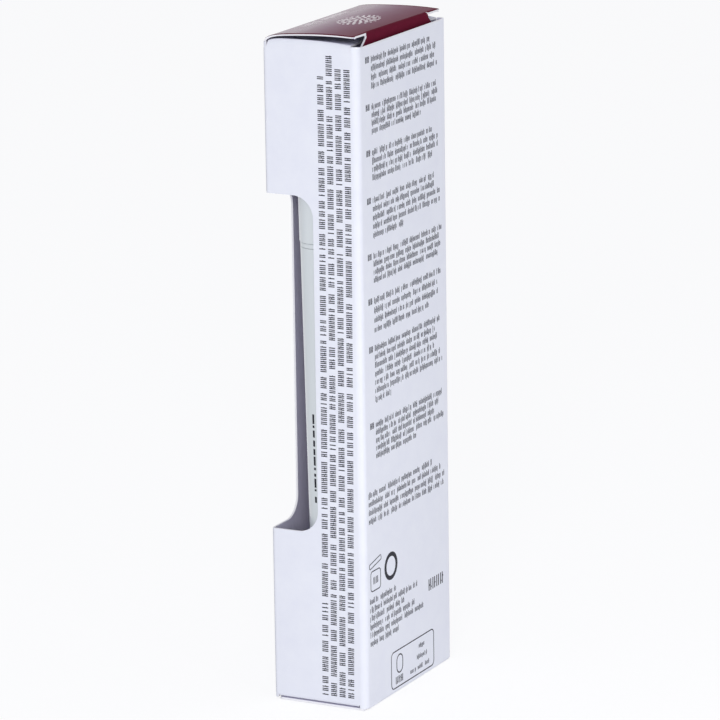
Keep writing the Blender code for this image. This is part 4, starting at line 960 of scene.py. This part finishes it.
for name, low, high, smoothest, roughest, patch, relief, sockets, nodes in INNER_FINISHES:
    finish, tree, shader = new_finish(name, low, **sockets)
    place = add_node(tree, "ShaderNodeTexCoord", {}, {})
    cloud = add_node(tree, "ShaderNodeTexNoise", {"Scale": 1 / (patch * MM), "Detail": 4.0},
                     {"Vector": place.outputs["Object"]})
    tint = add_node(tree, "ShaderNodeMix", {"data_type": "RGBA", 6: linear(low), 7: linear(high)},
                    {0: cloud.outputs["Fac"]})
    dull = add_node(tree, "ShaderNodeMapRange", {"To Min": smoothest, "To Max": roughest},
                    {"Value": cloud.outputs["Fac"]})
    skin = add_node(tree, "ShaderNodeBump", {"Strength": relief, "Distance": 0.05 * MM},
                    {"Height": cloud.outputs["Fac"]})
    tree.links.new(tint.outputs[2], shader.inputs["Base Color"])
    tree.links.new(dull.outputs["Result"], shader.inputs["Roughness"])
    tree.links.new(skin.outputs["Normal"], shader.inputs["Normal"])
    if "Subsurface_Weight" in sockets:
        shader.inputs["Subsurface Radius"].default_value = (0.6 * MM, 0.6 * MM, 0.5 * MM)
        shader.inputs["Subsurface Scale"].default_value = 1.0
    for node in nodes:
        solid = bpy.data.objects[node]
        solid.data.materials.clear()
        solid.data.materials.append(finish)


# The balm: a golden waxy paste that fills the barrel between the piston and the nozzle, its edges a little
# rounded.
BALM_FOOT, BALM_HEAD, BALM_STROKE, BALM_GAP = 55.95, 97.7, 33.74, 0.06
wax, tree, shader = new_finish("golden_wax_balm", "EDD7A6", Roughness=0.35, IOR=1.45, Subsurface_Weight=0.25)
shader.inputs["Subsurface Radius"].default_value = (1.0 * MM, 0.8 * MM, 0.5 * MM)
shader.inputs["Subsurface Scale"].default_value = 1.0
place = add_node(tree, "ShaderNodeTexCoord", {}, {})
streak = add_node(tree, "ShaderNodeTexNoise", {"Scale": 1 / (1.8 * MM), "Detail": 4.0, "Distortion": 1.2},
                  {"Vector": place.outputs["Object"]})
cream = add_node(tree, "ShaderNodeMix", {"data_type": "RGBA", 6: linear("E6CB92"), 7: linear("F3E2BC")},
                 {0: streak.outputs["Fac"]})
grease = add_node(tree, "ShaderNodeMapRange", {"To Min": 0.22, "To Max": 0.5}, {"Value": streak.outputs["Fac"]})
smear = add_node(tree, "ShaderNodeBump", {"Strength": 0.3, "Distance": 0.1 * MM}, {"Height": streak.outputs["Fac"]})
tree.links.new(cream.outputs[2], shader.inputs["Base Color"])
tree.links.new(grease.outputs["Result"], shader.inputs["Roughness"])
tree.links.new(smear.outputs["Normal"], shader.inputs["Normal"])
balm_radius = BARREL_BORE - BALM_GAP
balm = turned_shell("balm_column", [
    (balm_radius * 0.5, BALM_HEAD), *rounding(balm_radius - 0.3, BALM_HEAD - 0.3, 0.3, 90, 0),
    *[(balm_radius, height) for height in np.linspace(BALM_HEAD - 2, BALM_FOOT + 2, 20)],
    *rounding(balm_radius - 0.3, BALM_FOOT + 0.3, 0.3, 0, -90), (balm_radius * 0.5, BALM_FOOT),
], [wax], False)
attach(balm, "pen")
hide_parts("balm_fill")
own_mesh(balm)


# The floor and the studio: a matt pale floor that the camera sees as white, soft daylight from all round, a
# wide lamp on the window side, and a small low one that lifts the back wall's foot.
def seen_directly(tree):
    """One where a ray comes from the camera, a glossy surface or a clear one, and nought where it brings the
    object its light: the highest of the three."""
    seen = add_node(tree, "ShaderNodeLightPath", {}, {})
    direct = add_node(tree, "ShaderNodeMath", {"operation": "MAXIMUM"},
                      {0: seen.outputs["Is Camera Ray"], 1: seen.outputs["Is Glossy Ray"]})
    direct = add_node(tree, "ShaderNodeMath", {"operation": "MAXIMUM"},
                      {0: direct.outputs[0], 1: seen.outputs["Is Transmission Ray"]})
    return direct.outputs[0]


bpy.ops.mesh.primitive_plane_add(size=6.0)
floor = bpy.context.object
floor.name = "studio_floor"
floor_finish, tree, shader = new_finish("matt_white_floor", "E6E6EA", Roughness=0.9, Specular_IOR_Level=0.0)
direct = seen_directly(tree)
paper = add_node(tree, "ShaderNodeMix", {"data_type": "RGBA", 6: linear("E6E6EA"), 7: linear("8A8A8C")}, {0: direct})
lift = add_node(tree, "ShaderNodeMath", {"operation": "MULTIPLY", 1: 0.8}, {0: direct})
tree.links.new(paper.outputs[2], shader.inputs["Base Color"])
shader.inputs["Emission Color"].default_value = (1, 1, 1, 1)
tree.links.new(lift.outputs[0], shader.inputs["Emission Strength"])
floor.data.materials.append(floor_finish)

world = bpy.data.worlds.new("studio_daylight")
bpy.context.scene.world = world
world.use_nodes = True
tree = world.node_tree
sky = tree.nodes["Background"]
glow = add_node(tree, "ShaderNodeMix", {"data_type": "RGBA", 6: (0.56, 0.57, 0.60, 1), 7: (1, 1, 1, 1)},
                {0: seen_directly(tree)})
tree.links.new(glow.outputs[2], sky.inputs["Color"])
sky.inputs["Strength"].default_value = 1.0

for name, spot, aim, size, power in (("wide_side_lamp", (1.08, 0.48, 0.42), (0.0, 0.0, 0.07), 0.5, 5.0),
                                     ("low_back_lamp", (0.13, 0.20, 0.03), (0.0, 0.0, 0.03), 0.04, 0.1)):
    lamp = bpy.data.lights.new(name, "AREA")
    lamp.shape = "DISK"
    lamp.size = size
    lamp.energy = power
    lamp_stand = bpy.data.objects.new(name, lamp)
    lamp_stand.location = spot
    lamp_stand.rotation_euler = (Vector(spot) - Vector(aim)).to_track_quat("Z", "Y").to_euler()
    bpy.context.scene.collection.objects.link(lamp_stand)

# The camera, where the photo's own stood. Its place, direction, roll and lens were worked out from the
# carton's corners.
camera = bpy.data.cameras.new("camera")
camera.sensor_width = 36.0
camera.lens = 227.4
camera.clip_start = 0.05
camera_stand = bpy.data.objects.new("camera", camera)
camera_stand.location = (0.8806, 0.4520, 0.3200)
back = Vector((0.86359, 0.44317, 0.24045))
camera_stand.rotation_euler = (back.to_track_quat("Z", "Y") @ Quaternion((0, 0, 1), math.radians(-0.831))).to_euler()
bpy.context.scene.collection.objects.link(camera_stand)
bpy.context.scene.camera = camera_stand
bpy.context.scene.view_settings.view_transform = "Standard"
